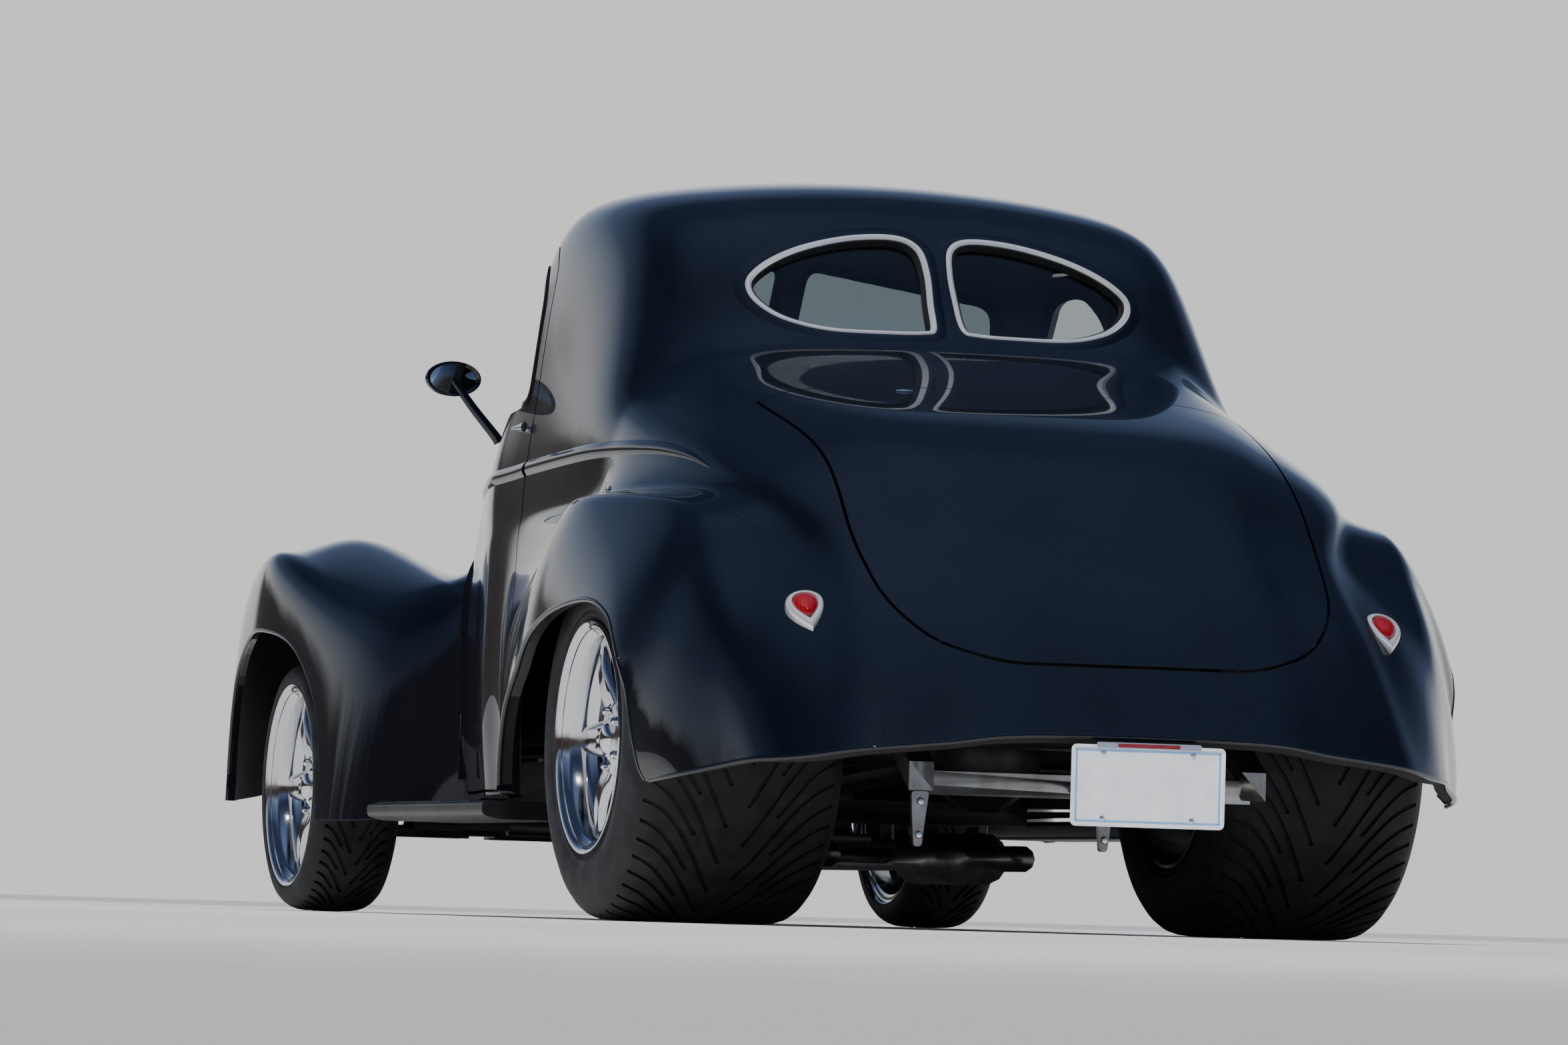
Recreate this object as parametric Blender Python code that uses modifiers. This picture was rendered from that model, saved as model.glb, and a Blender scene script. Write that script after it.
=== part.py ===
# Hot rod coupe: outer skin, running gear and cabin as separate pieces at real size.
# Frame: +X is the car's left, the nose points to -Y, +Z is up, the tyres stand on Z = 0.
# Units are metres.

import math

import bmesh
import bpy
import numpy as np
from mathutils import Matrix, Vector

for leftover in list(bpy.data.objects):
    bpy.data.objects.remove(leftover, do_unlink=True)

# Driving dimensions
WHEELBASE = 2.54
FRONT_AXLE_Y = -1.39
REAR_AXLE_Y = FRONT_AXLE_Y + WHEELBASE
HALF_WIDTH = 0.91
HEIGHT = 1.575

# Panels
WALL = 0.030
FENDER_WALL = 0.022
SHUT_GAP = 0.006
SEAT_GAP = 0.0003
WELD = 0.00001
OVERRUN = 0.05
REACH = 1.2
SIDES = ((1, "left"), (-1, "right"))

# Rear wheels
REAR_TYRE_RADIUS = 0.364
REAR_TYRE_WIDTH = 0.445
REAR_TYRE_FACE_X = 0.832
RIM_RADIUS = 0.2325

# Front wheels
FRONT_TYRE_RADIUS = 0.288
FRONT_TYRE_WIDTH = 0.205
FRONT_TYRE_FACE_X = 0.822

HUB_RADIUS = 0.075
HUB_BORE = 0.030
SPOKE_COUNT = 5
SPOKE_THICKNESS = 0.022

# Running gear
AXLE_TUBE_RADIUS = 0.038
DIFFERENTIAL_RADIUS = 0.125
RAIL_X = 0.34
RAIL_WIDTH = 0.05
RAIL_HEIGHT = 0.10
RAIL_Z = 0.300
KINGPIN_X = 0.655

PARTS = bpy.data.collections.new("hot_rod")
CUTTERS = bpy.data.collections.new("cutters")
CUTTERS.hide_render = True
for group in (PARTS, CUTTERS):
    bpy.context.scene.collection.children.link(group)


def finish(name, colour, roughness, metallic=0.0, clear=0.0):
    """A Principled material with the piece's colour."""
    material = bpy.data.materials.new(name)
    material.use_nodes = True
    shader = material.node_tree.nodes["Principled BSDF"]
    shader.inputs["Base Color"].default_value = (*colour, 1.0)
    shader.inputs["Roughness"].default_value = roughness
    shader.inputs["Metallic"].default_value = metallic
    shader.inputs["Transmission Weight"].default_value = clear
    return material


BLACK_PAINT = finish("black_paint", (0.004, 0.005, 0.008), 0.06)
CHROME = finish("chrome", (0.80, 0.80, 0.80), 0.06, 1.0)
POLISHED_ALUMINIUM = finish("polished_aluminium", (0.78, 0.78, 0.79), 0.14, 1.0)
TYRE_RUBBER = finish("tyre_rubber", (0.012, 0.012, 0.012), 0.75)
BLACK_CHASSIS = finish("satin_black_chassis", (0.015, 0.015, 0.016), 0.45)
BARE_STEEL = finish("bare_steel", (0.34, 0.34, 0.35), 0.38, 1.0)
CAST_IRON = finish("cast_iron", (0.09, 0.09, 0.09), 0.60, 0.8)
TAN_LEATHER = finish("tan_leather", (0.42, 0.36, 0.29), 0.50)
BLACK_TRIM = finish("black_trim", (0.018, 0.018, 0.018), 0.60)
TINTED_GLASS = finish("tinted_glass", (0.30, 0.33, 0.34), 0.02, 0.0, 0.9)
RED_LENS = finish("red_lens", (0.45, 0.01, 0.01), 0.10)
WHITE_PLATE = finish("white_plate", (0.85, 0.86, 0.88), 0.35)


def place(name, mesh, material=None, group=PARTS):
    obj = bpy.data.objects.new(name, mesh)
    group.objects.link(obj)
    if material:
        mesh.materials.clear()
        mesh.materials.append(material)
    if group is CUTTERS:
        obj.hide_render = True
        obj.display_type = "WIRE"
    return obj


def mesh_from(name, build):
    """A mesh made by a function that fills a bmesh."""
    bm = bmesh.new()
    build(bm)
    bmesh.ops.recalc_face_normals(bm, faces=bm.faces)
    mesh = bpy.data.meshes.new(name)
    bm.to_mesh(mesh)
    bm.free()
    return mesh


def baked(obj, name=None, material=None, group=CUTTERS, weld=False):
    """The object as its modifiers leave it, as a plain mesh object, and the original removed."""
    bpy.context.view_layer.update()
    graph = bpy.context.evaluated_depsgraph_get()
    mesh = bpy.data.meshes.new_from_object(obj.evaluated_get(graph))
    mesh.transform(obj.matrix_world)
    if weld:
        bm = bmesh.new()
        bm.from_mesh(mesh)
        bmesh.ops.remove_doubles(bm, verts=bm.verts, dist=WELD)
        bm.to_mesh(mesh)
        bm.free()
    name = name or obj.name
    bpy.data.objects.remove(obj, do_unlink=True)
    return place(name, mesh, material, group)


def boolean(target, other, operation="DIFFERENCE", solver="EXACT"):
    modifier = target.modifiers.new(operation.lower(), "BOOLEAN")
    modifier.operation = operation
    modifier.object = other
    modifier.solver = solver
    return target


def turned_to(obj, direction):
    """Turns a shape made about X so that its +X end points in a direction."""
    turn = Vector((1, 0, 0)).rotation_difference(Vector(direction).normalized())
    obj.data.transform(turn.to_matrix().to_4x4())
    return obj


def moved(obj, offset):
    obj.data.transform(Matrix.Translation(Vector(offset)))
    return obj


def re_origin(obj, point):
    """Puts the object's origin on a point, such as one on its hinge, and leaves its shape where it is."""
    obj = baked(obj, obj.name, obj.data.materials[0], PARTS)
    moved(obj, -Vector(point))
    obj.location = point
    return obj


def united(name, pieces, material, solver="EXACT"):
    """One solid joined from overlapping pieces."""
    first = pieces[0]
    for other in pieces[1:]:
        boolean(first, other, "UNION", solver)
    whole = baked(first, name, material, PARTS)
    for other in pieces[1:]:
        bpy.data.objects.remove(other, do_unlink=True)
    return whole


def box(name, low, high, bevel=0.0, group=CUTTERS, material=None):
    """A box between two corners, with rounded edges if a bevel is given."""
    low, high = Vector(low), Vector(high)

    def build(bm):
        bmesh.ops.create_cube(bm, size=1.0)
        bmesh.ops.scale(bm, vec=high - low, verts=bm.verts)
        bmesh.ops.translate(bm, vec=(low + high) / 2, verts=bm.verts)

    obj = place(name, mesh_from(name, build), material, group)
    if bevel:
        rounding = obj.modifiers.new("rounding", "BEVEL")
        rounding.width = bevel
        rounding.segments = 2
    return obj


def lathe(name, profile, steps=32, group=CUTTERS, material=None, closed=True):
    """A solid turned about X from (radius, x) points that run round its section."""

    def build(bm):
        points = [bm.verts.new((x, 0, radius)) for radius, x in profile]
        pairs = zip(points, points[1:] + points[:1] if closed else points[1:])
        for one, two in pairs:
            bm.edges.new((one, two))
        bmesh.ops.spin(
            bm,
            geom=list(bm.verts) + list(bm.edges),
            cent=(0, 0, 0),
            axis=(1, 0, 0),
            angle=math.tau,
            steps=steps,
            use_merge=True,
        )
        bmesh.ops.remove_doubles(bm, verts=bm.verts, dist=WELD)

    return place(name, mesh_from(name, build), material, group)


def tube(name, points, radius, sides=2):
    """A round bar along points, as a closed mesh."""
    curve = bpy.data.curves.new(name, "CURVE")
    curve.dimensions = "3D"
    curve.bevel_depth = radius
    curve.bevel_resolution = sides
    curve.use_fill_caps = True
    spline = curve.splines.new("POLY")
    spline.points.add(len(points) - 1)
    for spot, point in zip(spline.points, points):
        spot.co = (*point, 1.0)
    obj = bpy.data.objects.new(name, curve)
    CUTTERS.objects.link(obj)
    return baked(obj, name, weld=True)


def grown(outline, distance):
    """A closed outline moved outwards by a distance, for gaps round a shared line."""
    area = sum(a[0] * b[1] - b[0] * a[1] for a, b in zip(outline, outline[1:] + outline[:1]))
    turn = 1.0 if area > 0 else -1.0
    moved = []
    count = len(outline)
    for i, here in enumerate(outline):
        before = Vector(here) - Vector(outline[i - 1])
        after = Vector(outline[(i + 1) % count]) - Vector(here)
        one = Vector((before.y, -before.x)).normalized() * turn
        two = Vector((after.y, -after.x)).normalized() * turn
        middle = (one + two).normalized()
        moved.append(tuple(Vector(here) + middle * distance / max(middle.dot(one), 0.3)))
    return moved


def rounded(outline, radius, segments=2):
    """A closed outline with each corner replaced by an arc-like curve."""
    smooth = []
    count = len(outline)
    for i, here in enumerate(outline):
        here = Vector(here)
        before = Vector(outline[i - 1]) - here
        after = Vector(outline[(i + 1) % count]) - here
        reach = min(radius, before.length * 0.45, after.length * 0.45)
        start = here + before.normalized() * reach
        end = here + after.normalized() * reach
        for step in range(segments + 1):
            share = step / segments
            point = start * (1 - share) ** 2 + here * 2 * share * (1 - share) + end * share**2
            smooth.append(tuple(point))
    return smooth


def prism(name, outline, axis, low, high):
    """A cutter with this outline, running along X, Y or Z between two planes."""

    def spot(point, along):
        u, v = point
        return {"X": (along, u, v), "Y": (u, along, v), "Z": (u, v, along)}[axis]

    def build(bm):
        face = bm.faces.new([bm.verts.new(spot(point, low)) for point in outline])
        made = bmesh.ops.extrude_face_region(bm, geom=[face])
        moved = [item for item in made["geom"] if isinstance(item, bmesh.types.BMVert)]
        step = Vector(spot((0, 0), high)) - Vector(spot((0, 0), low))
        bmesh.ops.translate(bm, vec=step, verts=moved)

    return place(name, mesh_from(name, build), None, CUTTERS)


def mix(one, two, share):
    return one + (two - one) * share


# The skin: roof, sides, rear fenders and tail as one flowing surface.
# Each row is one section from front to rear. Heights are shares of HEIGHT, widths are
# shares of HALF_WIDTH, and places along the car are shares of WHEELBASE from the front axle.
# Columns: place, sweep (how far the lip lies ahead of the centre), vee (how far the eave
# lies behind the centre), top z, then x and z of eave, belt, root, crest, side and lip.
SKIN_SHARES = (
    (0.303, 0.000, 0.000, 0.637, 0.54, 0.600, 0.650, 0.520, 0.668, 0.460, 0.680, 0.370, 0.680, 0.270, 0.665, 0.155),
    (0.350, 0.000, 0.030, 0.662, 0.57, 0.640, 0.695, 0.580, 0.705, 0.515, 0.712, 0.400, 0.712, 0.280, 0.700, 0.158),
    (0.400, 0.000, 0.048, 0.775, 0.60, 0.735, 0.738, 0.592, 0.744, 0.523, 0.750, 0.410, 0.750, 0.283, 0.735, 0.160),
    (0.470, 0.000, 0.045, 0.955, 0.63, 0.885, 0.772, 0.602, 0.778, 0.530, 0.782, 0.420, 0.782, 0.287, 0.765, 0.160),
    (0.595, 0.000, 0.000, 1.005, 0.66, 0.920, 0.772, 0.606, 0.780, 0.540, 0.787, 0.433, 0.790, 0.293, 0.775, 0.160),
    (0.783, 0.000, 0.000, 0.960, 0.63, 0.885, 0.776, 0.612, 0.785, 0.540, 0.852, 0.467, 0.923, 0.330, 0.947, 0.165),
    (0.862, 0.000, 0.000, 0.830, 0.56, 0.777, 0.755, 0.630, 0.788, 0.545, 0.879, 0.500, 0.957, 0.381, 0.985, 0.168),
    (0.941, 0.000, 0.000, 0.727, 0.57, 0.697, 0.740, 0.618, 0.792, 0.552, 0.912, 0.512, 0.984, 0.381, 1.000, 0.170),
    (1.138, 0.040, 0.000, 0.634, 0.50, 0.608, 0.676, 0.556, 0.712, 0.535, 0.855, 0.492, 0.972, 0.355, 0.978, 0.170),
    (1.240, 0.110, 0.000, 0.529, 0.42, 0.503, 0.582, 0.479, 0.640, 0.466, 0.835, 0.440, 0.935, 0.300, 0.945, 0.171),
    (1.323, 0.170, 0.000, 0.382, 0.40, 0.375, 0.604, 0.366, 0.690, 0.360, 0.835, 0.345, 0.910, 0.240, 0.930, 0.171),
    (1.382, 0.205, 0.000, 0.239, 0.41, 0.227, 0.660, 0.209, 0.725, 0.203, 0.822, 0.192, 0.879, 0.181, 0.907, 0.172),
)
LAST_ROW = 9
EAVE_ROW = 2


def section_rows(share):
    """The ten points of one half section, from the roof's centre to the lip."""
    place_share, sweep, vee, top, ex, ez, bx, bz, rx, rz, cx, cz, sx, sz, lx, lz = share
    rows = (
        (0.0, top),
        (0.62 * ex, mix(top, ez, 0.22)),
        (ex, ez),
        (mix(ex, bx, 0.65), mix(ez, bz, 0.55)),
        (bx, bz),
        (rx, rz),
        (mix(rx, cx, 0.55), mix(rz, cz, 0.30)),
        (cx, cz),
        (sx, sz),
        (lx, lz),
    )
    for row, (x, z) in enumerate(rows):
        back = vee * min(row / EAVE_ROW, 1.0) - sweep * (row / LAST_ROW) ** 2
        y = FRONT_AXLE_Y + WHEELBASE * (place_share + back)
        yield Vector((x * HALF_WIDTH, y, z * HEIGHT))


def smoothing(count, mirrored_low=False, mirrored_high=False):
    """How a smoothed row of points depends on its cage: one part each neighbour, four parts the point."""
    weights = np.eye(count)
    for i in range(1, count - 1):
        weights[i, i - 1 : i + 2] = (1 / 6, 4 / 6, 1 / 6)
    if mirrored_low:
        weights[0, :2] = (4 / 6, 2 / 6)
    if mirrored_high:
        weights[-1, -2:] = (2 / 6, 4 / 6)
    return weights


def through(stations, centre_row=False, centre_end=False):
    """The cage whose smoothed surface passes through these points."""
    points = np.array([[tuple(point) for point in station] for station in stations])
    along = smoothing(points.shape[0], mirrored_high=centre_end)
    round_ = smoothing(points.shape[1], mirrored_low=centre_row)
    solved = np.linalg.solve(along, points.reshape(points.shape[0], -1)).reshape(points.shape)
    solved = np.linalg.solve(round_, solved.transpose(1, 0, 2).reshape(points.shape[1], -1))
    solved = solved.reshape(points.shape[1], points.shape[0], 3).transpose(1, 0, 2)
    if centre_row:
        solved[:, 0, 0] = 0.0
    if centre_end:
        solved[-1, :, 0] = 0.0
    return [[Vector(point) for point in station] for station in solved]


def cage(bm, stations):
    """A grid of quads through the points of each station."""
    grid = [[bm.verts.new(point) for point in station] for station in stations]
    for one, two in zip(grid, grid[1:]):
        for a, b, c, d in zip(one, one[1:], two[1:], two):
            bm.faces.new((a, b, c, d))


def cage_mesh(name, stations):
    """A cage whose faces point away from the car's centre line."""
    mesh = bpy.data.meshes.new(name)
    bm = bmesh.new()
    cage(bm, stations)
    bmesh.ops.remove_doubles(bm, verts=bm.verts, dist=WELD)
    bmesh.ops.recalc_face_normals(bm, faces=bm.faces)
    outward = sum((face.normal.z + face.normal.x) * face.calc_area() for face in bm.faces)
    if outward < 0:
        bmesh.ops.reverse_faces(bm, faces=bm.faces)
    bm.to_mesh(mesh)
    bm.free()
    return mesh


def sheet(name, mesh, wall, mirrored=True, inset=0.0, levels=1, group=CUTTERS, outward=False):
    """A cage made smooth and given a wall that grows inwards, or outwards, from one face."""
    obj = place(name, mesh, None, group)
    if mirrored:
        mirror = obj.modifiers.new("mirror", "MIRROR")
        mirror.use_clip = True
        mirror.merge_threshold = 0.0001
    smooth = obj.modifiers.new("smooth", "SUBSURF")
    smooth.levels = levels
    smooth.render_levels = levels
    smooth.boundary_smooth = "PRESERVE_CORNERS"
    if inset:
        shift = obj.modifiers.new("inset", "DISPLACE")
        shift.strength = -inset
        shift.mid_level = 0.0
    thickness = obj.modifiers.new("wall", "SOLIDIFY")
    thickness.thickness = wall
    thickness.offset = 1.0 if outward else -1.0
    return obj


def y_at(share):
    return FRONT_AXLE_Y + WHEELBASE * share


def side_points(shares):
    """(y, z) points from shares of WHEELBASE and HEIGHT."""
    return [(y_at(y), HEIGHT * z) for y, z in shares]


def rear_points(shares):
    """(x, z) points from shares of HALF_WIDTH and HEIGHT."""
    return [(HALF_WIDTH * x, HEIGHT * z) for x, z in shares]


def mirrored_line(line):
    return [(-x, z) for x, z in reversed(line)]


# Outlines seen from the side, as shares of WHEELBASE from the front axle and of HEIGHT
DOOR_SHARES = (
    (0.328, 0.172), (0.612, 0.172), (0.617, 0.62), (0.595, 0.87), (0.560, 0.912), (0.505, 0.905), (0.395, 0.655),
    (0.328, 0.605),
)
SIDE_GLASS_SHARES = ((0.425, 0.665), (0.590, 0.690), (0.575, 0.84), (0.545, 0.885), (0.512, 0.880))
REAR_ARCH_SHARES = (
    (0.772, 0.10), (0.772, 0.173), (0.795, 0.225), (0.835, 0.285), (0.902, 0.352), (0.972, 0.388), (1.055, 0.400),
    (1.106, 0.381), (1.130, 0.349), (1.146, 0.302), (1.157, 0.235), (1.173, 0.173), (1.173, 0.10),
)
FENDER_LINE_SHARES = (
    (0.668, 0.10), (0.672, 0.25), (0.690, 0.380), (0.735, 0.475), (0.790, 0.530), (0.862, 0.548), (0.950, 0.556),
    (1.060, 0.552), (1.127, 0.535), (1.170, 0.500), (1.206, 0.466), (1.255, 0.400), (1.320, 0.305), (1.400, 0.20),
    (1.450, 0.10),
)
# Outlines seen from the front or rear, as shares of HALF_WIDTH and of HEIGHT
WINDSHIELD_SHARES = ((0.022, 0.672), (0.56, 0.668), (0.555, 0.70), (0.50, 0.875), (0.022, 0.925))
REAR_GLASS_SHARES = (
    (0.03, 0.905), (0.03, 0.775), (0.20, 0.765), (0.36, 0.775), (0.455, 0.815), (0.40, 0.86), (0.27, 0.90),
    (0.12, 0.91),
)
LID_HALF_SHARES = (
    (0.28, 0.326), (0.42, 0.350), (0.50, 0.400), (0.522, 0.470), (0.522, 0.600), (0.565, 0.668), (0.565, 0.740),
)
# How far the cutters of the glass run along the car, and where those of the lid end
WINDSHIELD_REACH = (y_at(0.25), y_at(0.60))
REAR_GLASS_REACH = (y_at(0.70), y_at(0.95))
TAIL_END_Y = y_at(1.5)
DOOR_INNER_X = 0.535
LID_LIMIT_Y = y_at(1.02)
DOOR_HINGE = Vector((0.658, -0.560, 0.350))
LID_HINGE = Vector((0, LID_LIMIT_Y - SHUT_GAP / 2, 1.092))
HOOD_HINGE = Vector((0, -0.624, 1.000))
GLASS_INSET = 0.012
GLASS_WALL = 0.005
CORNER = 0.05

skin_mesh = cage_mesh("skin", through([list(section_rows(share)) for share in SKIN_SHARES], centre_row=True))

door_line = rounded(side_points(DOOR_SHARES), CORNER)
side_glass_line = rounded(side_points(SIDE_GLASS_SHARES), CORNER)
arch_line = side_points(REAR_ARCH_SHARES)
fender_line = side_points(FENDER_LINE_SHARES)
windshield_line = rounded(rear_points(WINDSHIELD_SHARES), CORNER)
rear_glass_line = rounded(rear_points(REAR_GLASS_SHARES), CORNER)
lid_half = rear_points(LID_HALF_SHARES)
lid_line = rounded(lid_half + mirrored_line(lid_half), CORNER)
FENDER_INNER_X = 0.50


def side_prism(name, line, side, inner, outer=REACH):
    low, high = sorted((side * inner, side * outer))
    return prism(name, line, "X", low, high)


body = sheet("body", skin_mesh.copy(), WALL)
for side, word in SIDES:
    boolean(body, side_prism(f"door_hole_{word}", grown(door_line, SHUT_GAP), side, DOOR_INNER_X))
    fender_room = side_prism(f"fender_hole_{word}", grown(fender_line, SEAT_GAP), side, FENDER_INNER_X - SEAT_GAP)
    boolean(body, fender_room)
    front_glass = windshield_line if side > 0 else mirrored_line(windshield_line)
    back_glass = rear_glass_line if side > 0 else mirrored_line(rear_glass_line)
    boolean(body, prism(f"windshield_hole_{word}", front_glass, "Y", *WINDSHIELD_REACH))
    boolean(body, prism(f"rear_glass_hole_{word}", back_glass, "Y", *REAR_GLASS_REACH))
boolean(body, prism("lid_hole", grown(lid_line, SHUT_GAP), "Y", LID_LIMIT_Y - SHUT_GAP, TAIL_END_Y))

# The body's fixed panels meet at a level seam under the windows and across the sills
ROOF_SEAM_Z = 1.032
SILL_SEAM_Y = -0.10
body = baked(body)
PANEL_LIMITS = (
    ("cowl", (-REACH, -REACH, 0), (REACH, SILL_SEAM_Y - SEAT_GAP, ROOF_SEAM_Z - SEAT_GAP)),
    ("roof", (-REACH, -REACH, ROOF_SEAM_Z), (REACH, 2 * REACH, 2 * REACH)),
    ("body_shell", (-REACH, SILL_SEAM_Y, 0), (REACH, 2 * REACH, ROOF_SEAM_Z - SEAT_GAP)),
)
for name, low, high in PANEL_LIMITS:
    panel = place(name, body.data.copy(), BLACK_PAINT)
    boolean(panel, box(f"{name}_room", low, high), "INTERSECT")
bpy.data.objects.remove(body, do_unlink=True)

for side, word in SIDES:
    door = sheet(f"door_{word}", skin_mesh.copy(), WALL, group=PARTS)
    door.data.materials.append(BLACK_PAINT)
    boolean(door, side_prism(f"door_shape_{word}", door_line, side, DOOR_INNER_X), "INTERSECT")
    boolean(door, side_prism(f"door_glass_hole_{word}", side_glass_line, side, DOOR_INNER_X - OVERRUN))
    re_origin(door, (side * DOOR_HINGE.x, DOOR_HINGE.y, DOOR_HINGE.z))

    fender = sheet(f"fender_rear_{word}", skin_mesh.copy(), WALL, group=PARTS)
    fender.data.materials.append(BLACK_PAINT)
    boolean(fender, side_prism(f"fender_shape_{word}", fender_line, side, FENDER_INNER_X), "INTERSECT")
    boolean(fender, side_prism(f"arch_{word}", arch_line, side, FENDER_INNER_X - OVERRUN))

    pane = sheet(f"rear_window_{word}", skin_mesh.copy(), GLASS_WALL, inset=GLASS_INSET, group=PARTS)
    pane.data.materials.append(TINTED_GLASS)
    shape = rear_glass_line if side > 0 else mirrored_line(rear_glass_line)
    cutter = prism(f"rear_glass_shape_{word}", grown(shape, -SEAT_GAP), "Y", *REAR_GLASS_REACH)
    boolean(pane, cutter, "INTERSECT")

    pane = sheet(f"windshield_{word}", skin_mesh.copy(), GLASS_WALL, inset=GLASS_INSET, group=PARTS)
    pane.data.materials.append(TINTED_GLASS)
    shape = windshield_line if side > 0 else mirrored_line(windshield_line)
    cutter = prism(f"windshield_shape_{word}", grown(shape, -SEAT_GAP), "Y", *WINDSHIELD_REACH)
    boolean(pane, cutter, "INTERSECT")

lid = sheet("trunk_lid", skin_mesh.copy(), WALL, group=PARTS)
lid.data.materials.append(BLACK_PAINT)
boolean(lid, prism("lid_shape", lid_line, "Y", LID_LIMIT_Y, TAIL_END_Y), "INTERSECT")
re_origin(lid, LID_HINGE)

# The front skin: hood above, nose below, as one surface that comes to a prow.
# Columns: place, top z, then x and z of shoulder, side and bottom.
NOSE_SHARES = (
    (0.3005, 0.637, 0.50, 0.605, 0.680, 0.46, 0.68, 0.19),
    (0.155, 0.620, 0.43, 0.580, 0.570, 0.45, 0.60, 0.19),
    (0.000, 0.590, 0.31, 0.545, 0.440, 0.42, 0.48, 0.19),
    (-0.150, 0.545, 0.20, 0.500, 0.310, 0.38, 0.35, 0.18),
    (-0.245, 0.475, 0.105, 0.430, 0.190, 0.32, 0.24, 0.17),
    (-0.295, 0.410, 0.0, 0.360, 0.0, 0.28, 0.0, 0.165),
)
HOOD_LINE_SHARES = (
    (0.33, 0.555), (0.10, 0.525), (-0.06, 0.500), (-0.20, 0.455), (-0.36, 0.385), (-0.36, 0.80), (0.33, 0.80),
)
WHEEL_ROOM_SHARES = (
    (-0.125, 0.05), (-0.125, 0.28), (-0.06, 0.335), (0.06, 0.335), (0.125, 0.28), (0.125, 0.05),
)
GRILLE_LINE_SHARES = ((-0.160, 0.205), (-0.262, 0.195), (-0.270, 0.300), (-0.160, 0.32))
GRILLE_SET = 0.0015
GRILLE_WALL = 0.012
GRILLE_BARS = 4
BAR_HEIGHT = 0.010


def nose_rows(share):
    """The seven points of one half section, from the hood's centre to the bottom."""
    place_share, top, shx, shz, six, siz, box_x, box_z = share
    rows = (
        (0.0, top),
        (0.60 * shx, mix(top, shz, 0.25)),
        (shx, shz),
        (mix(shx, six, 0.60), mix(shz, siz, 0.45)),
        (six, siz),
        (mix(six, box_x, 0.60), mix(siz, box_z, 0.5)),
        (box_x, box_z),
    )
    for x, z in rows:
        yield Vector((x * HALF_WIDTH, y_at(place_share), z * HEIGHT))


nose_mesh = cage_mesh("nose", through([list(nose_rows(share)) for share in NOSE_SHARES], True, True))
hood_line = side_points(HOOD_LINE_SHARES)
grille_line = rounded(side_points(GRILLE_LINE_SHARES), CORNER)

hood = sheet("hood", nose_mesh.copy(), FENDER_WALL, group=PARTS)
hood.data.materials.append(BLACK_PAINT)
boolean(hood, prism("hood_shape", hood_line, "X", -REACH, REACH), "INTERSECT")
re_origin(hood, HOOD_HINGE)

nose = sheet("nose_shell", nose_mesh.copy(), FENDER_WALL, group=PARTS)
nose.data.materials.append(BLACK_PAINT)
boolean(nose, prism("hood_hole", grown(hood_line, SHUT_GAP), "X", -REACH, REACH))
boolean(nose, prism("grille_hole", grille_line, "X", -REACH, REACH))
boolean(nose, prism("wheel_room", rounded(side_points(WHEEL_ROOM_SHARES), CORNER), "X", -REACH, REACH))

grille_low = min(z for y, z in grille_line)
grille_high = max(z for y, z in grille_line)
grille_front = min(y for y, z in grille_line)
grille_back = max(y for y, z in grille_line)
slabs = []
for i in range(GRILLE_BARS):
    z = mix(grille_low, grille_high, (i + 0.5) / GRILLE_BARS)
    slabs.append(box(f"bar_{i}", (-REACH, grille_front - OVERRUN, z), (REACH, grille_back, z + BAR_HEIGHT)))
y = mix(grille_front, grille_back, 0.6)
slabs.append(box("post", (-REACH, y, grille_low), (REACH, y + BAR_HEIGHT, grille_high)))
bars_shape = united("bars_shape", slabs, None)
CUTTERS.objects.link(bars_shape)
PARTS.objects.unlink(bars_shape)
bars_shape.hide_render = True
bars_shape.display_type = "WIRE"
grille = sheet("grille_bars", nose_mesh.copy(), GRILLE_WALL, inset=FENDER_WALL + GRILLE_SET, group=PARTS)
grille.data.materials.append(CHROME)
boolean(grille, bars_shape, "INTERSECT")

# Front fenders: one side's surface, mirrored for the other.
# Columns: place, then x and z of inner edge, crest, outer side and lip.
FRONT_FENDER_SHARES = (
    (-0.270, 0.40, 0.300, 0.56, 0.320, 0.70, 0.260, 0.72, 0.190),
    (-0.235, 0.38, 0.400, 0.62, 0.460, 0.82, 0.360, 0.84, 0.170),
    (-0.165, 0.37, 0.460, 0.66, 0.535, 0.92, 0.430, 0.955, 0.160),
    (-0.060, 0.42, 0.475, 0.72, 0.548, 0.965, 0.470, 1.0, 0.150),
    (0.040, 0.48, 0.480, 0.72, 0.530, 0.975, 0.450, 1.0, 0.140),
    (0.200, 0.60, 0.485, 0.72, 0.480, 0.90, 0.360, 0.95, 0.130),
    (0.295, 0.66, 0.480, 0.70, 0.450, 0.765, 0.300, 0.765, 0.135),
)
FRONT_ARCH_SHARES = (
    (-0.165, 0.05), (-0.165, 0.20), (-0.13, 0.33), (-0.06, 0.395), (0.01, 0.405), (0.09, 0.38), (0.155, 0.30),
    (0.185, 0.20), (0.19, 0.05),
)
LAMP_RADIUS = 0.090
LAMP_X = 0.52
LAMP_Z = 0.60
LAMP_FRONT_Y = y_at(-0.255)
LAMP_STEPS = 18
# Section of a lamp: radius and depth as shares of LAMP_RADIUS, from the bowl's back to the lens
LAMP_LINE_SHARES = ((0.0, -1.55), (0.7, -1.55), (1.0, -0.78), (1.0, 0.0), (0.6, 0.18), (0.0, 0.25))


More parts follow.
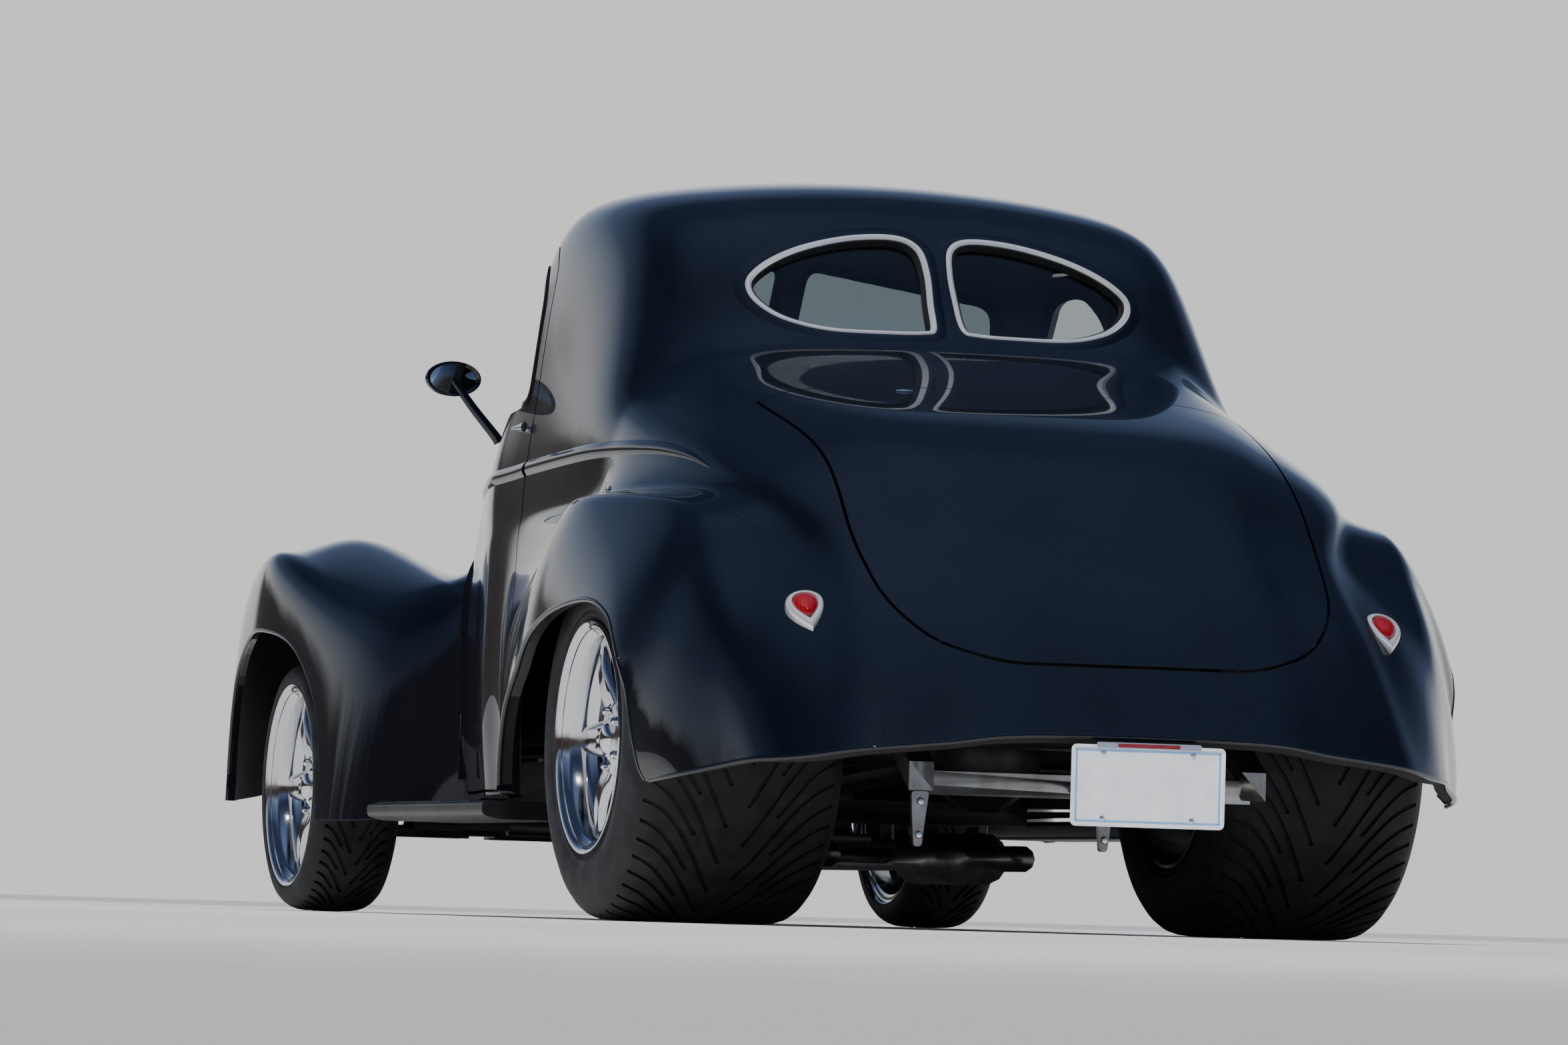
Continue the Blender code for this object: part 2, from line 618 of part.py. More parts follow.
def fender_rows(share, side):
    place_share, ix, iz, cx, cz, ox, oz, lx, lz = share
    rows = (
        (ix, iz),
        (mix(ix, cx, 0.5), mix(iz, cz, 0.65)),
        (cx, cz),
        (mix(cx, ox, 0.6), mix(cz, oz, 0.30)),
        (ox, oz),
        (lx, lz),
    )
    for x, z in rows:
        yield Vector((side * x * HALF_WIDTH, y_at(place_share), z * HEIGHT))


front_arch_line = side_points(FRONT_ARCH_SHARES)
for side, word in SIDES:
    stations = [list(fender_rows(share, side)) for share in FRONT_FENDER_SHARES]
    mesh = cage_mesh(f"fender_front_{word}", through(stations))
    if side < 0:
        mesh.flip_normals()
    fender = sheet(f"fender_front_{word}", mesh, FENDER_WALL, mirrored=False, group=PARTS)
    fender.data.materials.append(BLACK_PAINT)
    boolean(fender, sheet(f"nose_room_{word}", nose_mesh.copy(), FENDER_WALL * 3, inset=-SEAT_GAP))
    boolean(fender, sheet(f"body_room_{word}", skin_mesh.copy(), WALL * 2, inset=-SEAT_GAP * 2))
    boolean(fender, side_prism(f"front_arch_{word}", front_arch_line, side, FENDER_INNER_X))
    lamp_place = (side * LAMP_X, LAMP_FRONT_Y, LAMP_Z)
    room = LAMP_RADIUS + SEAT_GAP
    hole_line = [(0, -REACH / 4), (room, -REACH / 4), (room, REACH / 4), (0, REACH / 4)]
    hole = lathe(f"lamp_hole_{word}", hole_line, LAMP_STEPS, closed=False)
    moved(turned_to(hole, (0, -1, 0)), lamp_place)
    boolean(fender, hole)
    lamp_line = [(LAMP_RADIUS * radius, LAMP_RADIUS * depth) for radius, depth in LAMP_LINE_SHARES]
    lamp = lathe(f"headlight_{word}", lamp_line, LAMP_STEPS, PARTS, CHROME, closed=False)
    moved(turned_to(lamp, (0, -1, 0)), lamp_place)

# Running boards between the fenders
BOARD_INNER_X = 0.60
BOARD_OUTER_X = 0.835
BOARD_LOW = 0.200
BOARD_THICKNESS = 0.0445
for side, word in SIDES:
    low, high = sorted((side * BOARD_INNER_X, side * BOARD_OUTER_X))
    box(
        f"running_board_{word}",
        (low, y_at(0.315), BOARD_LOW),
        (high, y_at(0.700), BOARD_LOW + BOARD_THICKNESS),
        bevel=BOARD_THICKNESS / 4,
        group=PARTS,
        material=BLACK_PAINT,
    )


# Wheels: tyres and five-spoke rims with deep lips
TYRE_STEPS = 24
HUB_STEPS = 10
BEAD_RADIUS = 0.2165
BEAD_SET = 0.0135
LIP_WALL = 0.010
LIP_CLEAR = 0.004
BARREL_WALL = 0.010
SPOKE_SET = 0.055
SPOKE_WIDTH = 0.070
SPOKE_OVERLAP = 0.015
HUB_FACE = 0.035
HUB_LENGTH = 0.060
CAP_RADIUS = 0.040
CAP_DISH = 0.010
SPOKE_END_SHARE = 0.6
# Section of a tyre's side: rise from the bead as a share of the wall, set as a share of the width
SIDEWALL_SHARES = ((0.50, 0.0), (0.84, 0.045), (1.0, 0.13))


def tyre_profile(radius, width):
    """Section of a tyre as (radius, x), its outer face at x = 0."""
    half = [(BEAD_RADIUS, -BEAD_SET), (RIM_RADIUS + LIP_CLEAR, -BEAD_SET)]
    half += [(mix(BEAD_RADIUS, radius, rise), -width * inset) for rise, inset in SIDEWALL_SHARES]
    return half + [(rise, -width - x) for rise, x in reversed(half)]


def rim_profile(width):
    """Section of the rim as (radius, x), its outer lip's face at x = 0."""
    seat = BEAD_RADIUS - SEAT_GAP
    inner = seat - BARREL_WALL
    return [
        (RIM_RADIUS, 0.0), (RIM_RADIUS, -LIP_WALL), (seat, -LIP_WALL), (seat, -width + LIP_WALL),
        (RIM_RADIUS, -width + LIP_WALL), (RIM_RADIUS, -width), (inner, -width + LIP_WALL),
        (inner, -2 * LIP_WALL), (RIM_RADIUS - LIP_WALL, 0.0),
    ]


def standing_height(radius):
    """Height of a tyre's centre when it stands on one of its flat facets."""
    return radius * math.cos(math.pi / TYRE_STEPS)


def make_wheel(name, centre, tyre_radius, tyre_width, side):
    """A tyre and a five-spoke rim whose hub has a bore for its spindle."""
    tyre = lathe(f"tyre_{name}", tyre_profile(tyre_radius, tyre_width), TYRE_STEPS, PARTS, TYRE_RUBBER)
    face = -(BEAD_SET - LIP_WALL - SEAT_GAP)
    barrel = lathe(f"barrel_{name}", rim_profile(tyre_width + 2 * face), TYRE_STEPS)
    hub_back = -HUB_FACE - HUB_LENGTH
    hub_line = [
        (0, -HUB_FACE + CAP_DISH), (CAP_RADIUS, -HUB_FACE), (HUB_RADIUS, -SPOKE_SET), (HUB_RADIUS, hub_back),
        (HUB_BORE, hub_back), (HUB_BORE, -SPOKE_SET), (0, -SPOKE_SET),
    ]
    pieces = [barrel, lathe(f"hub_{name}", hub_line, HUB_STEPS, closed=False)]
    for i in range(SPOKE_COUNT):
        low = (-SPOKE_SET - SPOKE_THICKNESS, -SPOKE_WIDTH / 2, HUB_RADIUS - SPOKE_OVERLAP)
        high = (-SPOKE_SET, SPOKE_WIDTH / 2, BEAD_RADIUS - BARREL_WALL / 2)
        spoke = box(f"spoke_{name}_{i}", low, high)
        for vertex in spoke.data.vertices:
            if vertex.co.z > BEAD_RADIUS / 2:
                vertex.co.y *= SPOKE_END_SHARE
                vertex.co.x += SPOKE_THICKNESS
        spoke.data.transform(Matrix.Rotation(math.tau * i / SPOKE_COUNT, 4, "X"))
        pieces.append(spoke)
    rim = united(f"rim_{name}", pieces, POLISHED_ALUMINIUM)
    rim.data.transform(Matrix.Translation((face, 0, 0)))
    for obj in (tyre, rim):
        obj.data.transform(Matrix.Rotation(math.pi / TYRE_STEPS, 4, "X"))
        if side < 0:
            obj.data.transform(Matrix.Rotation(math.pi, 4, "Z"))
        obj.location = centre


REAR_AXLE_Z = standing_height(REAR_TYRE_RADIUS)
FRONT_AXLE_Z = standing_height(FRONT_TYRE_RADIUS)
for side, word in SIDES:
    rear_centre = (side * REAR_TYRE_FACE_X, REAR_AXLE_Y, REAR_AXLE_Z)
    make_wheel(f"rear_{word}", rear_centre, REAR_TYRE_RADIUS, REAR_TYRE_WIDTH, side)
    front_centre = (side * FRONT_TYRE_FACE_X, FRONT_AXLE_Y, FRONT_AXLE_Z)
    make_wheel(f"front_{word}", front_centre, FRONT_TYRE_RADIUS, FRONT_TYRE_WIDTH, side)

HUB_BACK = BEAD_SET - LIP_WALL - SEAT_GAP + HUB_FACE + HUB_LENGTH
SPINDLE_RADIUS = HUB_BORE * math.cos(math.pi / HUB_STEPS) - SEAT_GAP * 2
DISC_RADIUS = 0.150
DISC_THICKNESS = 0.022
DISC_SET = 0.012
DISC_STEPS = 18
SPINDLE_END = 0.030
ROUND_STEPS = 12
BAR_SIDES = 6
PHASE_SHARE = 0.37


def phased(obj, steps, share):
    """Turns a lathed shape about X by a share of one step, so that its edges miss those of a coaxial one."""
    obj.data.transform(Matrix.Rotation(share * math.tau / steps, 4, "X"))
    return obj


def rod(name, start, end, radius, steps=ROUND_STEPS, phase_share=0.0):
    """A plain round bar between two points."""
    start, end = Vector(start), Vector(end)
    length = (end - start).length
    bar = lathe(name, [(0, 0), (radius, 0), (radius, length), (0, length)], steps, closed=False)
    phased(bar, steps, phase_share)
    return moved(turned_to(bar, end - start), start)


def across(x, half, y, z, name, radius, steps=ROUND_STEPS, phase_share=0.0):
    """A round bar along X, centred on a point."""
    return rod(name, (x - half, y, z), (x + half, y, z), radius, steps, phase_share)


# Rear axle with its brakes, ladder bars and driveshaft
BAR_X = 0.27
BAR_RADIUS = 0.016
EYE_RADIUS = 0.030
EYE_HALF = 0.024
CROSS_WIDTH = 0.05
CROSS_HEIGHT = 0.045
CROSS_Z = 0.2835
BAR_CROSS_Y = y_at(0.7126)
BAR_FRONT_Y = BAR_CROSS_Y + CROSS_WIDTH / 2 + EYE_RADIUS + SEAT_GAP * 2
SHAFT_RADIUS = 0.034
SHAFT_GAP = 0.006
BAR_LIFT_SHARE = 0.55
GEARBOX_BACK_Y = -0.05
DIFFERENTIAL_SHARES = ((0.0, -1.0), (0.62, -0.80), (1.0, -0.22), (1.0, 0.22), (0.62, 0.80), (0.0, 1.0))
tube_end = REAR_TYRE_FACE_X - HUB_BACK - DISC_SET - DISC_THICKNESS / 2
axle_pieces = [across(0, tube_end, REAR_AXLE_Y, REAR_AXLE_Z, "tube", AXLE_TUBE_RADIUS)]
for side, word in SIDES:
    hub_back = side * (REAR_TYRE_FACE_X - HUB_BACK)
    disc_x = hub_back - side * (DISC_SET + DISC_THICKNESS / 2)
    disc = across(disc_x, DISC_THICKNESS / 2, REAR_AXLE_Y, REAR_AXLE_Z, "disc", DISC_RADIUS, DISC_STEPS, PHASE_SHARE)
    spindle_x = disc_x - side * DISC_THICKNESS / 4
    start, end = (spindle_x, REAR_AXLE_Y, REAR_AXLE_Z), (hub_back + side * SPINDLE_END, REAR_AXLE_Y, REAR_AXLE_Z)
    axle_pieces += [disc, rod("spindle", start, end, SPINDLE_RADIUS)]
    eye = (side * BAR_X, BAR_FRONT_Y, RAIL_Z)
    for lift in (AXLE_TUBE_RADIUS, -AXLE_TUBE_RADIUS):
        start = (side * BAR_X, REAR_AXLE_Y, REAR_AXLE_Z + lift * BAR_LIFT_SHARE)
        axle_pieces.append(rod("bar", start, eye, BAR_RADIUS, BAR_SIDES))
    axle_pieces.append(across(side * BAR_X, EYE_HALF, BAR_FRONT_Y, RAIL_Z, "eye", EYE_RADIUS))
ball_line = [(DIFFERENTIAL_RADIUS * radius, DIFFERENTIAL_RADIUS * x) for radius, x in DIFFERENTIAL_SHARES]
ball = phased(lathe("differential", ball_line, ROUND_STEPS, closed=False), ROUND_STEPS, PHASE_SHARE)
axle_pieces.append(moved(ball, (0, REAR_AXLE_Y, REAR_AXLE_Z)))
shaft_end = (0, GEARBOX_BACK_Y + SHAFT_GAP, RAIL_Z)
axle_pieces.append(rod("shaft", (0, REAR_AXLE_Y, REAR_AXLE_Z), shaft_end, SHAFT_RADIUS))
united("rear_axle", axle_pieces, BLACK_CHASSIS, "MANIFOLD")

# Frame: two rails that rise over the rear axle, with crossmembers
RAIL_SHARES = (
    (-0.045, 0.165), (0.815, 0.165), (0.91, 0.300), (1.10, 0.300), (1.20, 0.225), (1.255, 0.170),
    (1.255, 0.205), (1.215, 0.245), (1.115, 0.345), (0.895, 0.345), (0.80, 0.222), (-0.045, 0.222),
)
# Crossmembers: place as a share of WHEELBASE from the front axle, and middle height as a share of HEIGHT
CROSS_SHARES = ((-0.034, 0.1800), (0.587, 0.1550), (0.7126, 0.1550), (1.238, 0.1800))
EAR_HALF = 0.016
EAR_OUTER_X = 0.318
rail_line = side_points(RAIL_SHARES)
frame_pieces = []
for side, word in SIDES:
    frame_pieces.append(side_prism("rail", rail_line, side, RAIL_X - RAIL_WIDTH / 2, RAIL_X + RAIL_WIDTH / 2))
    ear_low, ear_high = sorted((side * (BAR_X - EAR_HALF), side * EAR_OUTER_X))
    low = (ear_low, BAR_CROSS_Y - CROSS_WIDTH / 3, CROSS_SHARES[2][1] * HEIGHT)
    high = (ear_high, BAR_CROSS_Y + CROSS_WIDTH / 2, RAIL_Z + EAR_HALF)
    frame_pieces.append(box("ear", low, high))
for share, height in CROSS_SHARES:
    y, z = y_at(share), height * HEIGHT
    low = (-RAIL_X, y - CROSS_WIDTH / 2, z - CROSS_HEIGHT / 2)
    frame_pieces.append(box("cross", low, (RAIL_X, y + CROSS_WIDTH / 2, z + CROSS_HEIGHT / 2)))
united("frame", frame_pieces, BLACK_CHASSIS)

# Floor with its tunnel, bulkheads and tubs over the rear tyres
FLOOR_Z = 0.3505
FLOOR_WALL = 0.015
FLOOR_HALF_WIDTH = 0.60
FIREWALL_Y = -0.585
FIREWALL_TOP = 0.74
BULKHEAD_Y = 0.64
TUNNEL_HALF_WIDTH = 0.14
TUNNEL_TOP = 0.43
FOOT_PAD_INNER_X = 0.17
FOOT_PAD_OUTER_X = 0.46
FOOT_PAD_FRONT_Y = -0.50
FOOT_PAD_BACK_Y = -0.04
FOOT_PAD_RISE = 0.006
TRUNK_FLOOR_Z = 0.5455
TRUNK_BACK_Y = 1.72
TUB_RADIUS = 0.395
TUB_WALL = 0.012
TUB_INNER_X = 0.3658
TUB_OUTER_X = 0.74
TUB_LOW = 0.42
TUB_STEPS = 24
FLOOR_ROOM = 0.24
floor_line = [
    (FIREWALL_Y, FIREWALL_TOP), (FIREWALL_Y, FLOOR_Z), (BULKHEAD_Y, FLOOR_Z), (BULKHEAD_Y, TRUNK_FLOOR_Z),
    (TRUNK_BACK_Y, TRUNK_FLOOR_Z), (TRUNK_BACK_Y, TRUNK_FLOOR_Z + FLOOR_WALL),
    (BULKHEAD_Y - FLOOR_WALL, TRUNK_FLOOR_Z + FLOOR_WALL), (BULKHEAD_Y - FLOOR_WALL, FLOOR_Z + FLOOR_WALL),
    (FIREWALL_Y + FLOOR_WALL, FLOOR_Z + FLOOR_WALL), (FIREWALL_Y + FLOOR_WALL, FIREWALL_TOP),
]
floor_base = prism("floor", floor_line, "X", -FLOOR_HALF_WIDTH, FLOOR_HALF_WIDTH)
tunnel = (TUNNEL_HALF_WIDTH, BULKHEAD_Y - FLOOR_WALL / 2, TUNNEL_TOP)
boolean(floor_base, box("tunnel", (-TUNNEL_HALF_WIDTH, FIREWALL_Y + FLOOR_WALL / 2, FLOOR_Z), tunnel), "UNION")
room = (TUNNEL_HALF_WIDTH - FLOOR_WALL, REAR_AXLE_Y, TUNNEL_TOP - FLOOR_WALL)
for side, word in SIDES:
    low_x, high_x = sorted((side * FOOT_PAD_INNER_X, side * FOOT_PAD_OUTER_X))
    pad_high = (high_x, FOOT_PAD_BACK_Y, FLOOR_Z + FLOOR_WALL + FOOT_PAD_RISE)
    boolean(floor_base, box("foot_pad", (low_x, FOOT_PAD_FRONT_Y, FLOOR_Z + FLOOR_WALL / 2), pad_high), "UNION")
boolean(floor_base, box("tunnel_room", (-TUNNEL_HALF_WIDTH + FLOOR_WALL, -REACH, -REACH), room))
beside_line = [(BULKHEAD_Y + OVERRUN, 0), (2 * REACH, 0), (2 * REACH, REACH), (BULKHEAD_Y + OVERRUN, REACH)]
for side, word in SIDES:
    boolean(floor_base, side_prism("beside_trunk", beside_line, side, TUB_INNER_X + TUB_WALL / 2))
floor_room = sheet("floor_room", skin_mesh.copy(), FLOOR_ROOM, inset=WALL + SEAT_GAP, outward=True)
boolean(floor_base, floor_room)
tub_line = [
    (0, TUB_INNER_X), (TUB_RADIUS + TUB_WALL, TUB_INNER_X), (TUB_RADIUS + TUB_WALL, TUB_OUTER_X),
    (TUB_RADIUS, TUB_OUTER_X), (TUB_RADIUS, TUB_INNER_X + TUB_WALL), (0, TUB_INNER_X + TUB_WALL),
]
floor_pieces = [baked(floor_base)]
for side, word in SIDES:
    tub = lathe("tub", tub_line, TUB_STEPS, closed=False)
    if side < 0:
        tub.data.transform(Matrix.Rotation(math.pi, 4, "Z"))
    moved(tub, (0, REAR_AXLE_Y, REAR_AXLE_Z))
    boolean(tub, box("tub_low", (-REACH, 0, -REACH), (REACH, 2 * REACH, TUB_LOW)))
    floor_pieces.append(baked(tub, "tub_cut"))
united("floor_pan", floor_pieces, BLACK_TRIM, "MANIFOLD")

# Engine with its gearbox, radiator and fuel tank
ENGINE_HALF_WIDTH = 0.25
ENGINE_FRONT_Y = -1.17
ENGINE_BACK_Y = -0.66
ENGINE_TOP = 0.80
GEARBOX_HALF_WIDTH = 0.11
GEARBOX_LOW = 0.215
GEARBOX_TOP = 0.40
MOUNT_FRONT_Y = -0.95
MOUNT_BACK_Y = -0.87
MOUNT_LOW = 0.28
MOUNT_TOP = 0.33
block_high = (ENGINE_HALF_WIDTH, ENGINE_BACK_Y, ENGINE_TOP)
gearbox_low = (-GEARBOX_HALF_WIDTH, ENGINE_BACK_Y - OVERRUN, GEARBOX_LOW)
engine_pieces = [
    box("block", (-ENGINE_HALF_WIDTH, ENGINE_FRONT_Y, GEARBOX_LOW), block_high),
    box("gearbox", gearbox_low, (GEARBOX_HALF_WIDTH, GEARBOX_BACK_Y, GEARBOX_TOP)),
]
mount_x = RAIL_X - RAIL_WIDTH / 2 - SEAT_GAP
engine_pieces.append(box("mounts", (-mount_x, MOUNT_FRONT_Y, MOUNT_LOW), (mount_x, MOUNT_BACK_Y, MOUNT_TOP)))
united("engine", engine_pieces, CAST_IRON)
RADIATOR_Y = -1.50
RADIATOR_DEPTH = 0.05
RADIATOR_HALF_WIDTH = 0.20
RADIATOR_TOP = 0.66
low = (-RADIATOR_HALF_WIDTH, RADIATOR_Y, CROSS_Z + CROSS_HEIGHT / 2 + SEAT_GAP)
high = (RADIATOR_HALF_WIDTH, RADIATOR_Y + RADIATOR_DEPTH, RADIATOR_TOP)
box("radiator", low, high, 0.0, PARTS, POLISHED_ALUMINIUM)
TANK_HALF_WIDTH = 0.27
TANK_FRONT_Y = 1.42
TANK_BACK_Y = 1.70
TANK_LOW = 0.36
TANK_ROUNDING = 0.02
low = (-TANK_HALF_WIDTH, TANK_FRONT_Y, TANK_LOW)
high = (TANK_HALF_WIDTH, TANK_BACK_Y, TRUNK_FLOOR_Z - SEAT_GAP)
box("fuel_tank", low, high, TANK_ROUNDING, PARTS, BLACK_CHASSIS)

# Exhaust: a pipe and a muffler each side, joined by a crossover
PIPE_X = 0.21
PIPE_Z = 0.150
PIPE_RADIUS = 0.028
PIPE_SEAT = 0.0026
MUFFLER_RADIUS = 0.055
MUFFLER_FRONT_Y = 0.10
MUFFLER_BACK_Y = 0.55
PIPE_BACK_Y = 0.80
CROSSOVER_Y = -0.05
CROSSOVER_RADIUS = 0.017
CROSSOVER_LIFT = 0.005
pipe_start_y = ENGINE_BACK_Y - OVERRUN
pipe_start_z = GEARBOX_LOW - PIPE_RADIUS + PIPE_SEAT
exhaust_pieces = []
for side, word in SIDES:
    x = side * PIPE_X
    route = [(x, pipe_start_y, pipe_start_z), (x, ENGINE_BACK_Y + OVERRUN, PIPE_Z), (x, PIPE_BACK_Y, PIPE_Z)]
    exhaust_pieces.append(tube("pipe", route, PIPE_RADIUS, 3))
    start, end = (x, MUFFLER_FRONT_Y, PIPE_Z), (x, MUFFLER_BACK_Y, PIPE_Z)
    exhaust_pieces.append(rod("muffler", start, end, MUFFLER_RADIUS, phase_share=PHASE_SHARE))
crossover_x = PIPE_X - PIPE_RADIUS / 2
crossover_z = PIPE_Z + CROSSOVER_LIFT
exhaust_pieces.append(across(0, crossover_x, CROSSOVER_Y, crossover_z, "crossover", CROSSOVER_RADIUS, BAR_SIDES))
united("exhaust", exhaust_pieces, BARE_STEEL, "MANIFOLD")

# Front suspension: two arms, a coil-over tower and a steering rack on a crossmember
CRADLE_HALF_Y = 0.050
CRADLE_LOW = 0.175
TOWER_X = 0.40
TOWER_HALF = 0.030
TOWER_HALF_Y = 0.060
TOWER_TOP = 0.460
OUTRIGGER_INNER_X = 0.28
OUTRIGGER_TOP = 0.245
ARM_SPREAD = 0.043
ARM_RADIUS = 0.014
LOWER_ARM_Z = 0.190
UPPER_ARM_Z = 0.390
PAD_RADIUS = 0.024
PAD_HEIGHT = 0.016
COIL_RADIUS = 0.030
COIL_LOW_X = 0.52
COIL_HIGH_X = 0.42
COIL_TOP = 0.450
RACK_Y = FRONT_AXLE_Y + 0.16
RACK_Z = 0.205
RACK_RADIUS = 0.022
RACK_SADDLE_X = 0.10
RACK_SADDLE_HALF = 0.015
TIE_INNER_X = 0.32
TIE_OUTER_X = 0.545
TIE_RADIUS = 0.010
STEER_ARM_X = 0.635
STEER_ARM_Y = FRONT_AXLE_Y + 0.11
STEER_ARM_Z = 0.235
STEER_ARM_RADIUS = 0.012
UPRIGHT_RADIUS = 0.020
FRONT_DISC_RADIUS = 0.135
cradle_top = RAIL_SHARES[0][1] * HEIGHT - SEAT_GAP
low = (-RAIL_X, FRONT_AXLE_Y - CRADLE_HALF_Y, CRADLE_LOW)
front_pieces = [box("cradle", low, (RAIL_X, FRONT_AXLE_Y + CRADLE_HALF_Y, cradle_top))]
front_pieces.append(across(0, RAIL_X, RACK_Y, RACK_Z, "rack", RACK_RADIUS))
low = (-RACK_SADDLE_X, FRONT_AXLE_Y, RACK_Z - RACK_SADDLE_HALF)
front_pieces.append(box("rack_saddle", low, (RACK_SADDLE_X, RACK_Y, RACK_Z + RACK_SADDLE_HALF)))
for side, word in SIDES:
    low_x, high_x = sorted((side * OUTRIGGER_INNER_X, side * (TOWER_X + TOWER_HALF / 2)))
    low = (low_x, FRONT_AXLE_Y - CRADLE_HALF_Y * 0.9, CRADLE_LOW + ARM_RADIUS / 2)
    front_pieces.append(box("outrigger", low, (high_x, FRONT_AXLE_Y + CRADLE_HALF_Y * 0.9, OUTRIGGER_TOP)))
    low_x, high_x = sorted((side * (TOWER_X - TOWER_HALF), side * (TOWER_X + TOWER_HALF)))
    low = (low_x, FRONT_AXLE_Y - TOWER_HALF_Y, OUTRIGGER_TOP - OVERRUN)
    front_pieces.append(box("tower", low, (high_x, FRONT_AXLE_Y + TOWER_HALF_Y, TOWER_TOP)))
    for height, inner in ((LOWER_ARM_Z, TOWER_X), (UPPER_ARM_Z, TOWER_X)):
        pin = (side * KINGPIN_X, FRONT_AXLE_Y, height)
        for spread in (ARM_SPREAD, -ARM_SPREAD):
            start = (side * inner, FRONT_AXLE_Y + spread, height)
            front_pieces.append(rod("arm", start, pin, ARM_RADIUS, BAR_SIDES))
        low, high = (pin[0], pin[1], height - PAD_HEIGHT), (pin[0], pin[1], height + PAD_HEIGHT)
        front_pieces.append(rod("pad", low, high, PAD_RADIUS, HUB_STEPS))
    start, end = (side * COIL_LOW_X, FRONT_AXLE_Y, LOWER_ARM_Z), (side * COIL_HIGH_X, FRONT_AXLE_Y, COIL_TOP)
    front_pieces.append(rod("coilover", start, end, COIL_RADIUS, BAR_SIDES))
    start, end = (side * TIE_INNER_X, RACK_Y, RACK_Z), (side * TIE_OUTER_X, STEER_ARM_Y, RACK_Z)
    front_pieces.append(rod("tie_rod", start, end, TIE_RADIUS, BAR_SIDES))
united("front_suspension", front_pieces, BLACK_CHASSIS)

for side, word in SIDES:
    hub_back = side * (FRONT_TYRE_FACE_X - HUB_BACK)
    disc_x = hub_back - side * (DISC_SET + DISC_THICKNESS / 2)
    low = (side * KINGPIN_X, FRONT_AXLE_Y, LOWER_ARM_Z + PAD_HEIGHT + SEAT_GAP)
    high = (side * KINGPIN_X, FRONT_AXLE_Y, UPPER_ARM_Z - PAD_HEIGHT - SEAT_GAP)
    start = (side * KINGPIN_X, FRONT_AXLE_Y, FRONT_AXLE_Z)
    end = (hub_back + side * SPINDLE_END, FRONT_AXLE_Y, FRONT_AXLE_Z)
    arm_start = (side * KINGPIN_X, FRONT_AXLE_Y, STEER_ARM_Z)
    arm_end = (side * STEER_ARM_X, STEER_ARM_Y, STEER_ARM_Z)
    half = DISC_THICKNESS / 2
    pieces = [
        rod("upright", low, high, UPRIGHT_RADIUS),
        across(disc_x, half, FRONT_AXLE_Y, FRONT_AXLE_Z, "disc", FRONT_DISC_RADIUS, DISC_STEPS, PHASE_SHARE),
        rod("spindle", start, end, SPINDLE_RADIUS),
        rod("steer_arm", arm_start, arm_end, STEER_ARM_RADIUS, BAR_SIDES),
    ]
    knuckle = united(f"knuckle_{word}", pieces, CAST_IRON, "MANIFOLD")
    re_origin(knuckle, (side * KINGPIN_X, FRONT_AXLE_Y, FRONT_AXLE_Z))

# Cabin: bench seat over the tunnel, dashboard with its column, steering wheel
SEAT_HALF_WIDTH = 0.50
SEAT_FRONT_Y = 0.02
SEAT_BACK_Y = 0.60
SEAT_TOP = 0.58
SEAT_BACK_TOP = 1.08
BACKREST_DEPTH = 0.14
low = (-SEAT_HALF_WIDTH, SEAT_BACK_Y - BACKREST_DEPTH, SEAT_TOP - OVERRUN)
cushion_low = (-SEAT_HALF_WIDTH, SEAT_FRONT_Y, FLOOR_Z + FLOOR_WALL + SEAT_GAP)
seat_pieces = [
    box("cushion", cushion_low, (SEAT_HALF_WIDTH, SEAT_BACK_Y, SEAT_TOP)),
    box("backrest", low, (SEAT_HALF_WIDTH, SEAT_BACK_Y, SEAT_BACK_TOP)),
]
seat = united("seat", seat_pieces, TAN_LEATHER)
seat_room = (TUNNEL_HALF_WIDTH + SEAT_GAP, REACH, TUNNEL_TOP + SEAT_GAP)
boolean(seat, box("seat_room", (-TUNNEL_HALF_WIDTH - SEAT_GAP, -REACH, 0), seat_room))
DASH_HALF_WIDTH = 0.525
DASH_FRONT_Y = -0.48
DASH_BACK_Y = -0.36
DASH_LOW = 0.76
DASH_TOP = 0.90
STEERING_X = 0.33
STEERING_CENTRE = Vector((STEERING_X, -0.06, 0.93))
COLUMN_START = Vector((STEERING_X, -0.50, 0.78))
COLUMN_RADIUS = 0.022
COLUMN_GAP = 0.0405
STEERING_RADIUS = 0.175
STEERING_RIM = 0.012
BOSS_RADIUS = 0.032
BOSS_BACK = 0.040
BOSS_FRONT = 0.012
STEERING_SPOKES = 3
STEERING_SPOKE_HALF = 0.012
STEERING_SPOKE_WALL = 0.004
STEERING_STEPS = 14
STEERING_RIM_SIDES = 6
BRACE_HALF_WIDTH = 0.06
BRACE_LOW = 0.69
column_way = (STEERING_CENTRE - COLUMN_START).normalized()
dash = box("dash", (-DASH_HALF_WIDTH, DASH_FRONT_Y, DASH_LOW), (DASH_HALF_WIDTH, DASH_BACK_Y, DASH_TOP))
column = rod("column", COLUMN_START, STEERING_CENTRE - column_way * COLUMN_GAP, COLUMN_RADIUS)
brace_low = (-BRACE_HALF_WIDTH, FIREWALL_Y + FLOOR_WALL + SEAT_GAP, BRACE_LOW)
brace = box("brace", brace_low, (BRACE_HALF_WIDTH, mix(DASH_FRONT_Y, DASH_BACK_Y, 0.5), mix(DASH_LOW, DASH_TOP, 0.5)))
united("dashboard", [dash, column, brace], BLACK_TRIM)


